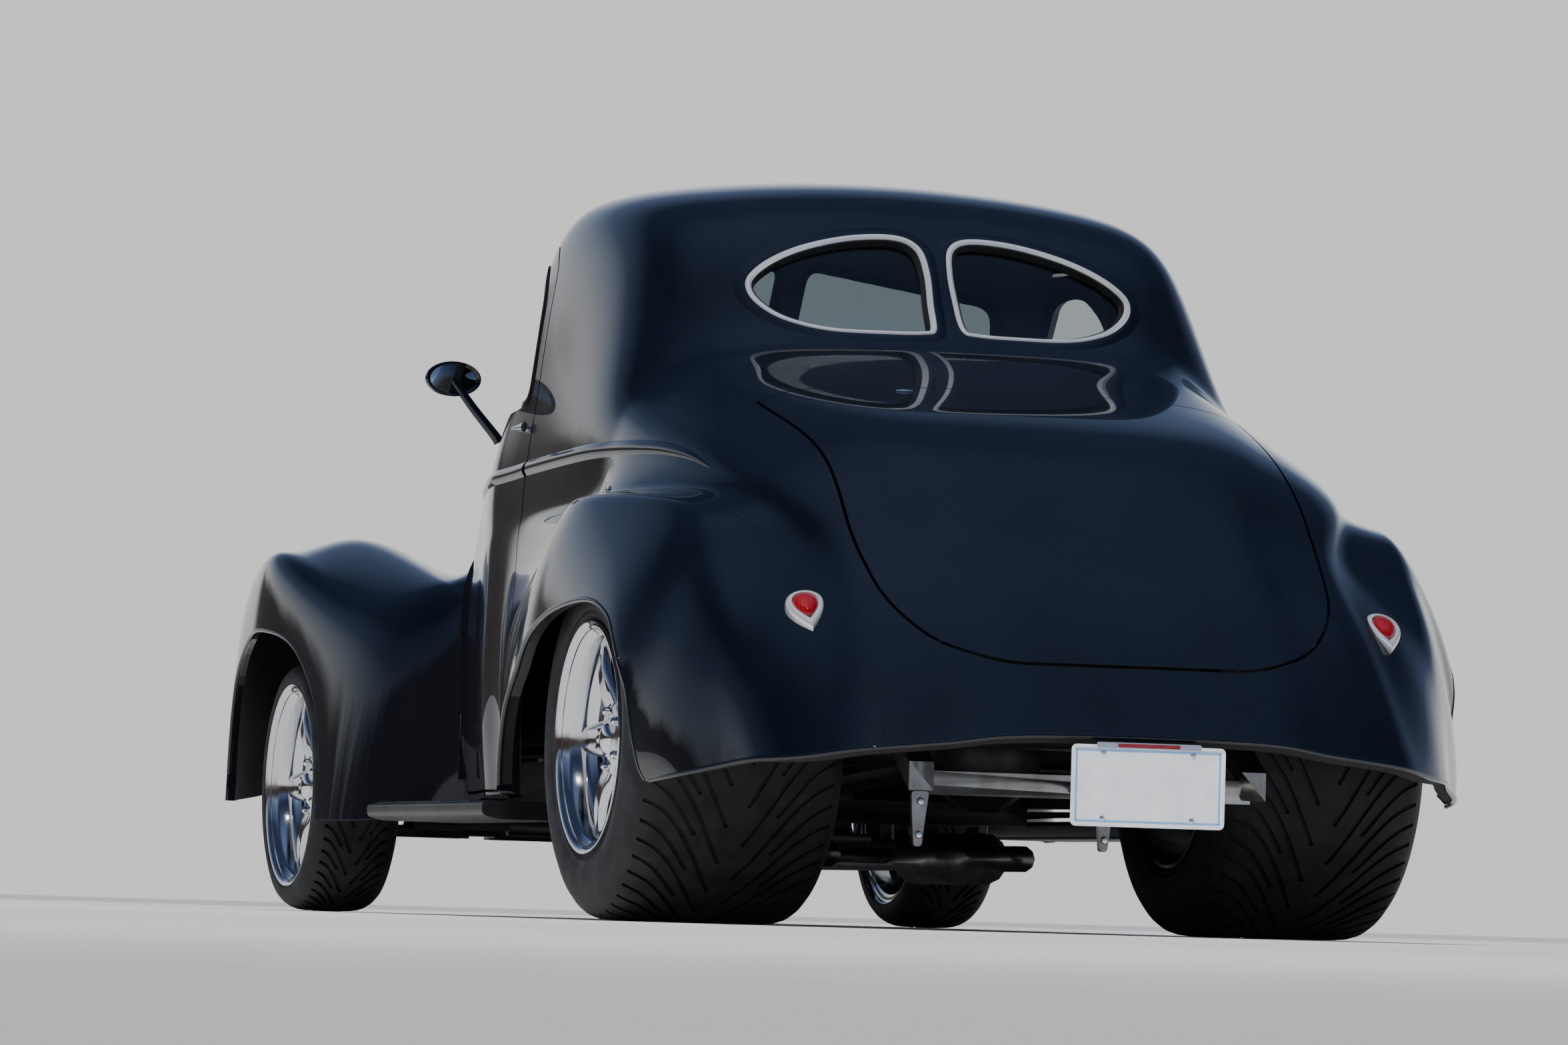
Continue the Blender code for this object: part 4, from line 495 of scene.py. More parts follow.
def settled(obj, name, *materials):
    """The object as its modifiers leave it, as a plain mesh, and the original removed."""
    bpy.context.view_layer.update()
    graph = bpy.context.evaluated_depsgraph_get()
    mesh = bpy.data.meshes.new_from_object(obj.evaluated_get(graph))
    mesh.transform(obj.matrix_world)
    mesh.materials.clear()
    bpy.data.objects.remove(obj, do_unlink=True)
    return link(name, mesh, *materials)


def sheet(name, mesh, wall, mirrored=True, inset=0.0, levels=None):
    """A cage made smooth and, if a wall is given, thickened towards the inside."""
    obj = link(name, mesh.copy())
    if mirrored:
        mirror = obj.modifiers.new("mirror", "MIRROR")
        mirror.use_clip = True
        mirror.merge_threshold = 0.0001
    smooth = obj.modifiers.new("smooth", "SUBSURF")
    smooth.levels = smooth.render_levels = levels or SMOOTH_LEVELS
    smooth.boundary_smooth = "PRESERVE_CORNERS"
    if inset:
        shift = obj.modifiers.new("inset", "DISPLACE")
        shift.strength = -inset
        shift.mid_level = 0.0
    if wall:
        thickness = obj.modifiers.new("wall", "SOLIDIFY")
        thickness.thickness = wall
        thickness.offset = -1.0
    return obj


def prism_solid(bm, outline, axis, low, high):
    """A straight solid with this outline, running along an axis between two planes."""

    def spot(point, along):
        u, v = point
        return {"X": (along, u, v), "Y": (u, along, v), "Z": (u, v, along)}[axis]

    face = bm.faces.new([bm.verts.new(spot(point, low)) for point in outline])
    made = bmesh.ops.extrude_face_region(bm, geom=[face])
    far_side = [item for item in made["geom"] if isinstance(item, bmesh.types.BMVert)]
    step = Vector(spot((0, 0), high)) - Vector(spot((0, 0), low))
    bmesh.ops.translate(bm, vec=step, verts=far_side)
    bmesh.ops.recalc_face_normals(bm, faces=bm.faces)


def cutter(outline, axis, low, high):
    return link("cutter", mesh_of("cutter", prism_solid, outline, axis, low, high))


def side_cutter(line, side, inner, outer=REACH):
    return cutter(line, "X", *sorted((side * inner, side * outer)))


def cut(obj, tools, operation="DIFFERENCE"):
    for tool in tools:
        modifier = obj.modifiers.new("cut", "BOOLEAN")
        modifier.operation = operation
        modifier.object = tool
        modifier.solver = "MANIFOLD"
    return obj


class Smooth:
    """An uncut smooth surface that points and normals are looked up on."""

    def __init__(self, mesh, mirrored=True):
        obj = settled(sheet("reference", mesh, 0.0, mirrored), "reference")
        self.mesh = obj.data
        bpy.data.objects.remove(obj, do_unlink=True)
        self.points = [v.co.copy() for v in self.mesh.vertices]
        self.faces = [tuple(p.vertices) for p in self.mesh.polygons]
        self.normals = [v.normal.copy() for v in self.mesh.vertices]
        self.tree = BVHTree.FromPolygons(self.points, self.faces)

    def blend(self, spot, index):
        corners = self.faces[index]
        weights = interpolate.poly_3d_calc([self.points[i] for i in corners], spot)
        normal = Vector((0, 0, 0))
        for weight, i in zip(weights, corners):
            normal += weight * self.normals[i]
        return normal.normalized()

    def near(self, point):
        spot, _, index, distance = self.tree.find_nearest(point)
        return spot, self.blend(spot, index), distance

    def hit(self, start, way):
        spot, _, index, _ = self.tree.ray_cast(Vector(start), Vector(way))
        return (spot, self.blend(spot, index)) if spot else None

    def from_side(self, side, points, start=1.5):
        """Points and normals where (y, z) points meet the surface from one side."""
        finds = [self.hit((side * start, y, z), (-side, 0, 0)) for y, z in points]
        return [find for find in finds if find]


def raised(finds, height):
    """The same points and normals, moved off the surface."""
    return [(spot + normal * height, normal) for spot, normal in finds]


UNDERSIDE_Z = 0.45


def gloss(obj, reference, wall, inset):
    """Takes the outer face's normals from the smooth surface and sets each face's finish.

    The outside is painted, the wall's inside gets the second finish and faces that look
    down near the ground get the last one.
    """
    mesh = obj.data
    near = [reference.near(v.co) for v in mesh.vertices]
    normals = []
    for polygon in mesh.polygons:
        corners = [near[i] for i in polygon.vertices]
        facing = sum(polygon.normal.dot(normal) for _, normal, _ in corners) / len(corners)
        depth = sum(distance for _, _, distance in corners) / len(corners)
        outer = facing > 0.8 and abs(depth - inset) < 0.004
        inner = facing < -0.8 and abs(depth - inset - wall) < wall * 0.5
        under = not outer and polygon.normal.z < -0.5 and polygon.center.z < UNDERSIDE_Z
        polygon.material_index = 1 if inner else len(mesh.materials) - 1 if under else 0
        for _, normal, _ in corners:
            normals.append(normal if outer else -normal if inner else polygon.normal)
    mesh.normals_split_custom_set(normals)
    mesh.update()


def clear_away(*objects):
    for obj in objects:
        bpy.data.objects.remove(obj, do_unlink=True)


def cut_panel(
    name, mesh, wall, reference, body, stands_for, keep=(), remove=(), mirrored=True, finishes=(black_paint, undercoat),
    inset=0.0,
):
    """One finished panel: cut, shaded, dressed and set to ride on its body."""
    obj = sheet(name + "_raw", mesh, wall, mirrored, inset)
    cut(obj, keep, "INTERSECT")
    cut(obj, remove)
    obj = settled(obj, name, *finishes)
    clear_away(*keep, *remove)
    gloss(obj, reference, wall, inset)
    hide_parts(*stands_for)
    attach(obj, body)
    print(name, len(obj.data.polygons), "faces")
    return obj


skin = Smooth(skin_cage)
print("smooth skin", len(skin.faces), "faces")

# %% [markdown]
# The outlines of the doors, the lid, the arches and the glass are drawn as polygons whose
# corners are then rounded with a curve of many short steps. A door's hole is the door's own
# outline grown by the shut gap, so the gap is even all round.
# %% Outlines
CORNER = 0.05
CORNER_STEPS = 8
DOOR_INNER_X = 0.535
FENDER_INNER_X = 0.50
LID_LIMIT_Y = y_at(1.02)
TAIL_END_Y = y_at(1.5)
WINDSHIELD_REACH = (y_at(0.25), y_at(0.60))
REAR_GLASS_REACH = (y_at(0.70), y_at(0.95))
GLASS_INSET = 0.012
GLASS_WALL = 0.005


def rounded(outline, radius, segments=CORNER_STEPS):
    """A closed outline with each corner replaced by a curve."""
    smooth = []
    for i, here in enumerate(outline):
        here = Vector(here)
        before = Vector(outline[i - 1]) - here
        after = Vector(outline[(i + 1) % len(outline)]) - here
        reach = min(radius, before.length * 0.45, after.length * 0.45)
        start = here + before.normalized() * reach
        end = here + after.normalized() * reach
        for step in range(segments + 1):
            share = step / segments
            smooth.append(tuple(start * (1 - share) ** 2 + here * 2 * share * (1 - share) + end * share**2))
    return smooth


def grown(outline, distance):
    """A closed outline moved outwards by a distance."""
    area = sum(a[0] * b[1] - b[0] * a[1] for a, b in zip(outline, outline[1:] + outline[:1]))
    turn = 1.0 if area > 0 else -1.0
    moved = []
    for i, here in enumerate(outline):
        before = Vector(here) - Vector(outline[i - 1])
        after = Vector(outline[(i + 1) % len(outline)]) - Vector(here)
        one = Vector((before.y, -before.x)).normalized() * turn
        two = Vector((after.y, -after.x)).normalized() * turn
        middle = (one + two).normalized()
        moved.append(tuple(Vector(here) + middle * distance / max(middle.dot(one), 0.3)))
    return moved


def flowing(points, steps=8, closed=True):
    """A smooth curve through a few points."""
    points = [Vector(p) for p in points]
    count = len(points)
    last = count if closed else count - 1
    curve = []
    for i in range(last):
        a = points[i - 1] if closed or i else points[0]
        b, c = points[i], points[(i + 1) % count]
        d = points[(i + 2) % count] if closed or i + 2 < count else c
        for step in range(steps):
            t = step / steps
            curve.append(
                0.5 * ((2 * b) + (c - a) * t + (2 * a - 5 * b + 4 * c - d) * t**2 + (3 * b - a - 3 * c + d) * t**3)
            )
    if not closed:
        curve.append(points[-1])
    return curve


def side_points(shares):
    return [(y_at(y), HEIGHT * z) for y, z in shares]


def rear_points(shares):
    return [(HALF_WIDTH * x, HEIGHT * z) for x, z in shares]


def mirrored_line(line):
    return [(-x, z) for x, z in reversed(line)]


def sided(line, side):
    """An outline drawn for the left side, or its mirror image for the right."""
    return line if side > 0 else mirrored_line(line)


def flowing_line(points, steps, closed=False):
    return [tuple(point) for point in flowing(points, steps, closed)]


# Outlines seen from the side, as shares of WHEELBASE from the front axle and of HEIGHT
DOOR_SHARES = (
    (0.328, 0.172), (0.612, 0.172), (0.617, 0.62), (0.595, 0.87), (0.560, 0.912), (0.505, 0.905), (0.395, 0.655),
    (0.328, 0.605),
)
SIDE_GLASS_SHARES = ((0.425, 0.665), (0.590, 0.690), (0.575, 0.84), (0.545, 0.885), (0.512, 0.880))
ARCH_SHARES = (
    (0.772, 0.173), (0.795, 0.225), (0.835, 0.285), (0.902, 0.352), (0.972, 0.388), (1.055, 0.400), (1.106, 0.381),
    (1.130, 0.349), (1.146, 0.302), (1.157, 0.235), (1.173, 0.173),
)
ARCH_LOW_Z = 0.1575
FENDER_JOINT_SHARES = (
    (0.668, 0.10), (0.672, 0.25), (0.690, 0.380), (0.735, 0.475), (0.790, 0.530), (0.862, 0.548), (0.950, 0.556),
    (1.060, 0.552), (1.127, 0.535), (1.170, 0.500), (1.206, 0.466), (1.255, 0.400), (1.320, 0.305), (1.400, 0.20),
    (1.450, 0.10),
)
# Outlines seen from the front or rear, as shares of HALF_WIDTH and of HEIGHT
WINDSHIELD_SHARES = ((0.022, 0.672), (0.56, 0.668), (0.555, 0.70), (0.50, 0.875), (0.022, 0.925))
LID_HALF_SHARES = (
    (0.28, 0.326), (0.42, 0.350), (0.50, 0.400), (0.522, 0.470), (0.522, 0.600), (0.565, 0.668), (0.565, 0.740),
)
# The left rear window's edge, seen from behind, as (x, z)
REAR_GLASS_POINTS = (
    (0.030, 1.225), (0.024, 1.285), (0.022, 1.350), (0.034, 1.402), (0.080, 1.424), (0.176, 1.419), (0.280, 1.394),
    (0.358, 1.360), (0.406, 1.322), (0.412, 1.290), (0.388, 1.258), (0.340, 1.231), (0.258, 1.213), (0.143, 1.211),
    (0.060, 1.214),
)

door_line = rounded(side_points(DOOR_SHARES), CORNER)
side_glass_line = rounded(side_points(SIDE_GLASS_SHARES), CORNER)
arch_curve = flowing_line(side_points(ARCH_SHARES), 6)
arch_line = [(arch_curve[0][0], ARCH_LOW_Z)] + arch_curve + [(arch_curve[-1][0], ARCH_LOW_Z)]
fender_line = flowing_line(side_points(FENDER_JOINT_SHARES), 5)
windshield_line = rounded(rear_points(WINDSHIELD_SHARES), CORNER)
rear_glass_line = flowing_line(REAR_GLASS_POINTS, 8, closed=True)
lid_half = rear_points(LID_HALF_SHARES)
lid_line = rounded(lid_half + mirrored_line(lid_half), CORNER)
print(len(door_line), "points round a door")

# %% [markdown]
# First the fixed body with its holes: pillars, roof, quarters and tail in one piece, as the
# real seams there are leaded over. Then the parts that bolt or hinge on, each from the same
# skin, so that reflections run on across the gaps.
# %% Body, doors, rear fenders and lid
removed = [cutter(grown(lid_line, SHUT_GAP), "Y", LID_LIMIT_Y - SHUT_GAP, TAIL_END_Y)]
for side, word in SIDES:
    removed.append(side_cutter(grown(door_line, SHUT_GAP), side, DOOR_INNER_X))
    removed.append(side_cutter(grown(fender_line, SEAT_GAP), side, FENDER_INNER_X - SEAT_GAP))
    removed.append(cutter(sided(windshield_line, side), "Y", *WINDSHIELD_REACH))
    removed.append(cutter(sided(rear_glass_line, side), "Y", *REAR_GLASS_REACH))
cut_panel(
    "body_panels", skin_cage, WALL, skin, "body", ("body_shell", "roof", "cowl"), remove=removed,
    finishes=(black_paint, headlining, undercoat),
)

for side, word in SIDES:
    cut_panel(
        f"door_skin_{word}", skin_cage, WALL, skin, f"door_{word}", (f"door_{word}",),
        [side_cutter(door_line, side, DOOR_INNER_X)], [side_cutter(side_glass_line, side, DOOR_INNER_X - OVERRUN)],
        finishes=(black_paint, black_vinyl),
    )
    cut_panel(
        f"rear_fender_{word}", skin_cage, WALL, skin, "body", (f"fender_rear_{word}",),
        [side_cutter(fender_line, side, FENDER_INNER_X)], [side_cutter(arch_line, side, FENDER_INNER_X - OVERRUN)],
    )
cut_panel(
    "lid_panel", skin_cage, WALL, skin, "trunk_lid", ("trunk_lid",), [cutter(lid_line, "Y", LID_LIMIT_Y, TAIL_END_Y)],
)

# %% [markdown]
# The front end has its own skin: hood, nose and prow as one surface that comes to a vertical
# edge in front. It is cut into hood, nose shell and grille opening in the same way. The
# front fenders are separate pressings, so each has its own cage and is trimmed where it
# meets the nose and the cowl.
# %% Front end
NOSE_SHARES = (
    (0.3005, 0.637, 0.50, 0.605, 0.680, 0.46, 0.68, 0.19),
    (0.155, 0.620, 0.43, 0.580, 0.570, 0.45, 0.60, 0.19),
    (0.000, 0.590, 0.31, 0.545, 0.440, 0.42, 0.48, 0.19),
    (-0.150, 0.545, 0.20, 0.500, 0.310, 0.38, 0.35, 0.18),
    (-0.245, 0.475, 0.105, 0.430, 0.190, 0.32, 0.24, 0.17),
    (-0.295, 0.410, 0.0, 0.360, 0.0, 0.28, 0.0, 0.165),
)
FRONT_FENDER_SHARES = (
    (-0.270, 0.40, 0.300, 0.56, 0.320, 0.70, 0.260, 0.72, 0.190),
    (-0.235, 0.38, 0.400, 0.62, 0.460, 0.82, 0.360, 0.84, 0.170),
    (-0.165, 0.37, 0.460, 0.66, 0.535, 0.92, 0.430, 0.955, 0.160),
    (-0.060, 0.42, 0.475, 0.72, 0.548, 0.963, 0.470, 0.993, 0.150),
    (0.040, 0.48, 0.480, 0.72, 0.530, 0.968, 0.450, 0.991, 0.140),
    (0.200, 0.60, 0.485, 0.72, 0.480, 0.90, 0.360, 0.95, 0.130),
    (0.268, 0.645, 0.481, 0.708, 0.458, 0.800, 0.315, 0.812, 0.134),
    (0.302, 0.640, 0.474, 0.655, 0.438, 0.655, 0.295, 0.650, 0.136),
)
LAMP_RADIUS = 0.090
LAMP_X, LAMP_Y, LAMP_Z = 0.52, y_at(-0.255), 0.60


def nose_rows(share):
    """The seven points of one half section, from the hood's centre to the bottom."""
    place_share, top, shx, shz, six, siz, box_x, box_z = share
    rows = (
        (0.0, top), (0.60 * shx, mix(top, shz, 0.25)), (shx, shz), (mix(shx, six, 0.60), mix(shz, siz, 0.45)),
        (six, siz), (mix(six, box_x, 0.60), mix(siz, box_z, 0.5)), (box_x, box_z),
    )
    for x, z in rows:
        yield Vector((x * HALF_WIDTH, y_at(place_share), z * HEIGHT))


def fender_rows(share, side):
    """The six points of one section of a front fender, from its inner edge to its lip."""
    place_share, ix, iz, cx, cz, ox, oz, lx, lz = share
    rows = (
        (ix, iz), (mix(ix, cx, 0.5), mix(iz, cz, 0.65)), (cx, cz), (mix(cx, ox, 0.6), mix(cz, oz, 0.30)), (ox, oz),
        (lx, lz),
    )
    for x, z in rows:
        yield Vector((side * x * HALF_WIDTH, y_at(place_share), z * HEIGHT))


def fender_cage(bm, points):
    """A fender's cage with its faces up."""
    laid_grid(bm, points)
    bmesh.ops.recalc_face_normals(bm, faces=bm.faces)
    if sum(face.normal.z * face.calc_area() for face in bm.faces) < 0:
        bmesh.ops.reverse_faces(bm, faces=bm.faces)


nose_cage = mesh_of("nose_cage", cage, through([list(nose_rows(share)) for share in NOSE_SHARES], True, True))
nose = Smooth(nose_cage)
hood_line = side_points(
    ((0.33, 0.555), (0.10, 0.525), (-0.06, 0.500), (-0.20, 0.455), (-0.36, 0.385), (-0.36, 0.80), (0.33, 0.80))
)
grille_line = rounded(side_points(((-0.160, 0.205), (-0.262, 0.195), (-0.270, 0.300), (-0.160, 0.32))), CORNER)
wheel_room_line = rounded(side_points(
    ((-0.125, 0.05), (-0.125, 0.28), (-0.06, 0.335), (0.06, 0.335), (0.125, 0.28), (0.125, 0.05))
), CORNER)
nose_holes = (grown(hood_line, SHUT_GAP), grille_line, wheel_room_line)
cut_panel("hood_panel", nose_cage, FENDER_WALL, nose, "hood", ("hood",), [cutter(hood_line, "X", -REACH, REACH)])
cut_panel(
    "nose_panel", nose_cage, FENDER_WALL, nose, "body", ("nose_shell",),
    remove=[cutter(line, "X", -REACH, REACH) for line in nose_holes],
)

# %% [markdown]
# Turned parts, such as lamp rims, wheels and tyres, start as one profile that is spun about
# its axis. Trim that follows a line, such as window rings and arch beads, starts as a small
# section that is swept along the line and leans with the panel under it. Both helpers close
# their seams and turn their faces outwards before anything else is done to them.
# %% Helpers for turned and swept pieces
SOFT_ANGLE = math.radians(38)


def softened(obj, angle=SOFT_ANGLE):
    obj.data.shade_smooth()
    obj.data.set_sharp_from_angle(angle=angle)
    return obj


def fitted(name, mesh, material, body, *stands_for, angle=SOFT_ANGLE):
    """A softly shaded piece that rides on its body and may stand for nodes."""
    obj = softened(link(name, mesh, material), angle)
    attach(obj, body)
    if stands_for:
        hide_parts(*stands_for)
    return obj


def closed_up(bm, fill):
    """Welds the seam, fills open ends if asked to and turns the faces outwards."""
    bmesh.ops.remove_doubles(bm, verts=bm.verts, dist=WELD)
    if fill:
        bmesh.ops.holes_fill(bm, edges=[edge for edge in bm.edges if edge.is_boundary], sides=0)
    bmesh.ops.recalc_face_normals(bm, faces=bm.faces)


def on_axis(bm, centre, way):
    """Moves a shape made about +X to a centre, with +X turned to point along way."""
    turn = Vector((1, 0, 0)).rotation_difference(Vector(way).normalized()).to_matrix().to_4x4()
    bmesh.ops.transform(bm, matrix=Matrix.Translation(centre) @ turn, verts=bm.verts)


def turned(bm, profile, steps=48, centre=(0, 0, 0), way=(1, 0, 0), closed=False):
    """A solid spun about +X from (radius, x) points, which may form a closed ring."""
    points = [bm.verts.new((x, 0, radius)) for radius, x in profile]
    for one, two in zip(points, points[1:] + points[:1] if closed else points[1:]):
        bm.edges.new((one, two))
    bmesh.ops.spin(
        bm, geom=list(bm.verts) + list(bm.edges), cent=(0, 0, 0), axis=(1, 0, 0), angle=math.tau, steps=steps,
        use_merge=True,
    )
    closed_up(bm, fill=False)
    on_axis(bm, centre, way)


def swept(bm, path, ups, section, closed=False, scale=None):
    """A section of (across, up) points swept along a path."""
    count = len(path)
    rows = []
    for i, here in enumerate(path):
        before = path[i - 1] if closed or i else here
        after = path[(i + 1) % count] if closed or i + 1 < count else here
        along = (after - before).normalized()
        across = along.cross(ups[i]).normalized()
        up_here = across.cross(along).normalized()
        size = scale(i / (count - 1)) if scale else (1.0, 1.0)
        rows.append([here + across * a * size[0] + up_here * b * size[1] for a, b in [*section, section[0]]])
    if closed:
        rows.append(rows[0])
    laid_grid(bm, rows)
    closed_up(bm, fill=not closed)


def round_section(half_width, half_height, count=10):
    turns = [math.tau * i / count for i in range(count)]
    return [(half_width * math.cos(t), half_height * math.sin(t)) for t in turns]


def trim(name, finds, section, material, body, closed=False, scale=None):
    """A strip along (point, normal) pairs on a panel."""
    path, ups = [spot for spot, _ in finds], [normal for _, normal in finds]
    return fitted(name, mesh_of(name, swept, path, ups, section, closed, scale), material, body)


def lathed(name, profile, material, body, centre, way, steps, *stands_for, closed=False):
    return fitted(name, mesh_of(name, turned, profile, steps, centre, way, closed), material, body, *stands_for)


# %% Front fenders and headlamps
EDGE_BEAD = round_section(0.0055, 0.0055)
BACKWARDS, FORWARDS = (0, 1, 0), (0, -1, 0)
FRONT_ARCH_SHARES = (
    (-0.165, 0.05), (-0.165, 0.20), (-0.13, 0.33), (-0.06, 0.395), (0.01, 0.405), (0.09, 0.38), (0.155, 0.30),
    (0.185, 0.20), (0.19, 0.05),
)
BOWL = (
    (0.0, -0.135), (0.055, -0.132), (0.082, -0.075), (0.0885, -0.004), (0.0885, 0.003), (0.084, 0.009),
    (0.078, 0.009), (0.074, 0.002), (0.070, -0.03), (0.045, -0.075), (0.0, -0.09),
)
LENS = ((0.0, 0.018), (0.03, 0.0165), (0.055, 0.012), (0.0745, 0.004), (0.0735, 0.001), (0.0, 0.010))
LAMP_HOLE = ((0, -0.3), (LAMP_RADIUS, -0.3), (LAMP_RADIUS, 0.3), (0, 0.3))
front_arch_line = side_points(FRONT_ARCH_SHARES)
front_arch_curve = flowing_line(front_arch_line[1:-1], 7)
front_arch_line = [front_arch_line[0]] + front_arch_curve + [front_arch_line[-1]]
for side, word in SIDES:
    stations = through([list(fender_rows(share, side)) for share in FRONT_FENDER_SHARES])
    mesh = mesh_of(f"front_fender_cage_{word}", fender_cage, stations)
    fender_skin = Smooth(mesh, mirrored=False)
    lamp_place = Vector((side * LAMP_X, LAMP_Y, LAMP_Z))
    hole = link("cutter", mesh_of("cutter", turned, LAMP_HOLE, 48, lamp_place, FORWARDS))
    nose_room = settled(sheet("nose_room", nose_cage, FENDER_WALL * 3, inset=-SEAT_GAP, levels=3), "nose_room")
    body_room = settled(sheet("body_room", skin_cage, WALL * 2, inset=-SEAT_GAP * 2, levels=3), "body_room")
    arch_room = side_cutter(front_arch_line, side, FENDER_INNER_X - OVERRUN)
    cut_panel(
        f"front_fender_{word}", mesh, FENDER_WALL, fender_skin, "body", (f"fender_front_{word}",),
        remove=[nose_room, body_room, arch_room, hole], mirrored=False,
    )
    finds = raised(fender_skin.from_side(side, front_arch_curve), -0.0045)
    trim(f"front_arch_bead_{word}", finds, EDGE_BEAD, black_paint, "body")
    lathed(f"headlamp_bowl_{word}", BOWL, chrome, "body", lamp_place, FORWARDS, 64, f"headlight_{word}")
    lathed(f"headlamp_lens_{word}", LENS, lamp_glass, "body", lamp_place, FORWARDS, 64)

# %% [markdown]
# An apron of thin sheet closes the gap between each front fender and the nose. It hangs in
# a shallow sag between the two edges, as a pressed splash panel does.
# %% Front aprons
APRON_DROP = 0.09
APRON_SAG = 0.018
APRON_STEPS = 6
APRON_WALL = 0.003
# How far the apron keeps off the fender's edge, sideways and downwards, and sinks into the nose
APRON_SIDE, APRON_BELOW, APRON_SINK = 0.006, 0.008, 0.008
for side, word in SIDES:
    edge = [Vector((side * share[1] * HALF_WIDTH, y_at(share[0]), share[2] * HEIGHT)) for share in FRONT_FENDER_SHARES]
    rows = []
    for start in flowing(edge, 5, closed=False):
        found = nose.hit((side * 1.2, start.y, start.z - APRON_DROP), (-side, 0, 0))
        if found and abs(found[0].x) < abs(start.x) - 0.002:
            end = found[0] - Vector((side * APRON_SINK, 0, 0))
            start = start + Vector((side * APRON_SIDE, 0, -APRON_BELOW))
            shares = [step / APRON_STEPS for step in range(APRON_STEPS + 1)]
            rows.append([start.lerp(end, t) - Vector((0, 0, APRON_SAG * math.sin(math.pi * t))) for t in shares])
    apron = link(f"front_apron_{word}", mesh_of("front_apron", fender_cage, rows))
    apron.modifiers.new("wall", "SOLIDIFY").thickness = APRON_WALL
    apron = softened(settled(apron, f"front_apron_{word}", black_paint))
    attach(apron, "body")
    print("apron rows", len(rows))

# %% [markdown]
# Grille: slim horizontal chrome bars that follow the nose's curve behind the opening. Each
# bar is swept along the surface, a little inside it.
# %% Grille bars
GRILLE_BARS = 9
GRILLE_DEPTH = 0.026
GRILLE_STEPS = 12
GRILLE_LOW, GRILLE_HIGH = min(z for _, z in grille_line) + 0.012, max(z for _, z in grille_line) - 0.012
GRILLE_FRONT, GRILLE_BACK = min(y for y, _ in grille_line) - 0.006, max(y for y, _ in grille_line) + 0.006


def grille_bars(bm, side):
    for i in range(GRILLE_BARS):
        z = mix(GRILLE_LOW, GRILLE_HIGH, i / (GRILLE_BARS - 1))
        line = [(mix(GRILLE_BACK, GRILLE_FRONT, step / GRILLE_STEPS), z) for step in range(GRILLE_STEPS + 1)]
        finds = raised(nose.from_side(side, line, 1.2), -GRILLE_DEPTH)
        if len(finds) > 2:
            added(bm, swept, [p for p, _ in finds], [n for _, n in finds], round_section(0.0045, 0.003, 8))


for side, word in SIDES:
    fitted(f"grille_{word}", mesh_of("grille", grille_bars, side), chrome, "body", "grille_bars")
print("grille bars", GRILLE_BARS)

# %% [markdown]
# The folded edges of real fenders catch light as a fine line, and so does the tail's lower
# edge. Each is a round bead swept along the edge. The belt moulding is a half-round that the
# presses raised in the sheet, and it fades to a point behind the doors.
# %% Edge beads and belt moulding
# The belt line seen from the side, as (y, z)
BELT_POINTS = (
    (-0.600, 0.912), (-0.350, 0.925), (-0.084, 0.934), (0.079, 0.940), (0.217, 0.946), (0.365, 0.950), (0.489, 0.953),
    (0.708, 0.957), (0.903, 0.955), (1.071, 0.947), (1.190, 0.933), (1.271, 0.917), (1.352, 0.895),
)
BELT_SECTION = (
    (-0.017, -0.001), (-0.011, 0.0045), (-0.004, 0.0075), (0.004, 0.0075), (0.011, 0.0045), (0.017, -0.001),
    (0, -0.003),
)
DOOR_FRONT_Y, DOOR_BACK_Y = y_at(0.328), y_at(0.6163)
belt_curve = flowing_line(BELT_POINTS, 6)


def belt_fade(share):
    return (min(1.0, (1 - share) * 2.2) ** 0.7 + 0.02,) * 2


for side, word in SIDES:
    finds = raised(skin.from_side(side, arch_curve), -0.004)
    trim(f"rear_arch_bead_{word}", finds, round_section(0.006, 0.006), black_paint, "body")
    for part, low, high, body, scale in (
        ("cowl", -9, DOOR_FRONT_Y - SHUT_GAP, "body", None),
        ("door", DOOR_FRONT_Y, DOOR_BACK_Y, f"door_{word}", None),
        ("quarter", DOOR_BACK_Y + SHUT_GAP, 9, "body", belt_fade),
    ):
        finds = skin.from_side(side, [(y, z) for y, z in belt_curve if low <= y <= high])
        trim(f"belt_{part}_{word}", finds, BELT_SECTION, black_paint, body, scale=scale)
print("belt points", len(belt_curve))

# %% [markdown]
# Rear windows: two drop-shaped panes, each in a bright rolled ring that sits in a soft black
# rubber. The body swells slightly round them. Rings, rubber and swell are sections swept
# round the same outline, and the pane is cut from the skin, set a little inwards.
# %% Glass and its rings
RING_SECTION = (
    (-0.0105, -0.004), (-0.0095, 0.0035), (-0.005, 0.0075), (0.001, 0.0075), (0.006, 0.0035), (0.0068, -0.004),
)
RUBBER_SECTION = ((-0.016, -0.016), (-0.013, 0.0015), (-0.004, 0.0025), (-0.004, -0.016))
SWELL_SECTION = (
    (0.030, -0.0015), (0.020, 0.0018), (0.010, 0.0052), (0.003, 0.0056), (-0.004, 0.002), (-0.004, -0.006),
    (0.012, -0.008),
)
CHANNEL_SECTION = ((-0.012, -0.028), (-0.012, 0.002), (0.002, 0.004), (0.002, -0.028))


def outline_on_skin(line, start_y, way_y):
    """Points and normals where a rear or front outline meets the skin."""
    finds = [skin.hit((x, start_y, z), (0, way_y, 0)) for x, z in line]
    return [find for find in finds if find]


def pane(name, node, line, reach):
    cut_panel(
        name, skin_cage, GLASS_WALL, skin, "body", (node,), [cutter(grown(line, -SEAT_GAP), "Y", *reach)],
        finishes=(glass, glass), inset=GLASS_INSET,
    )


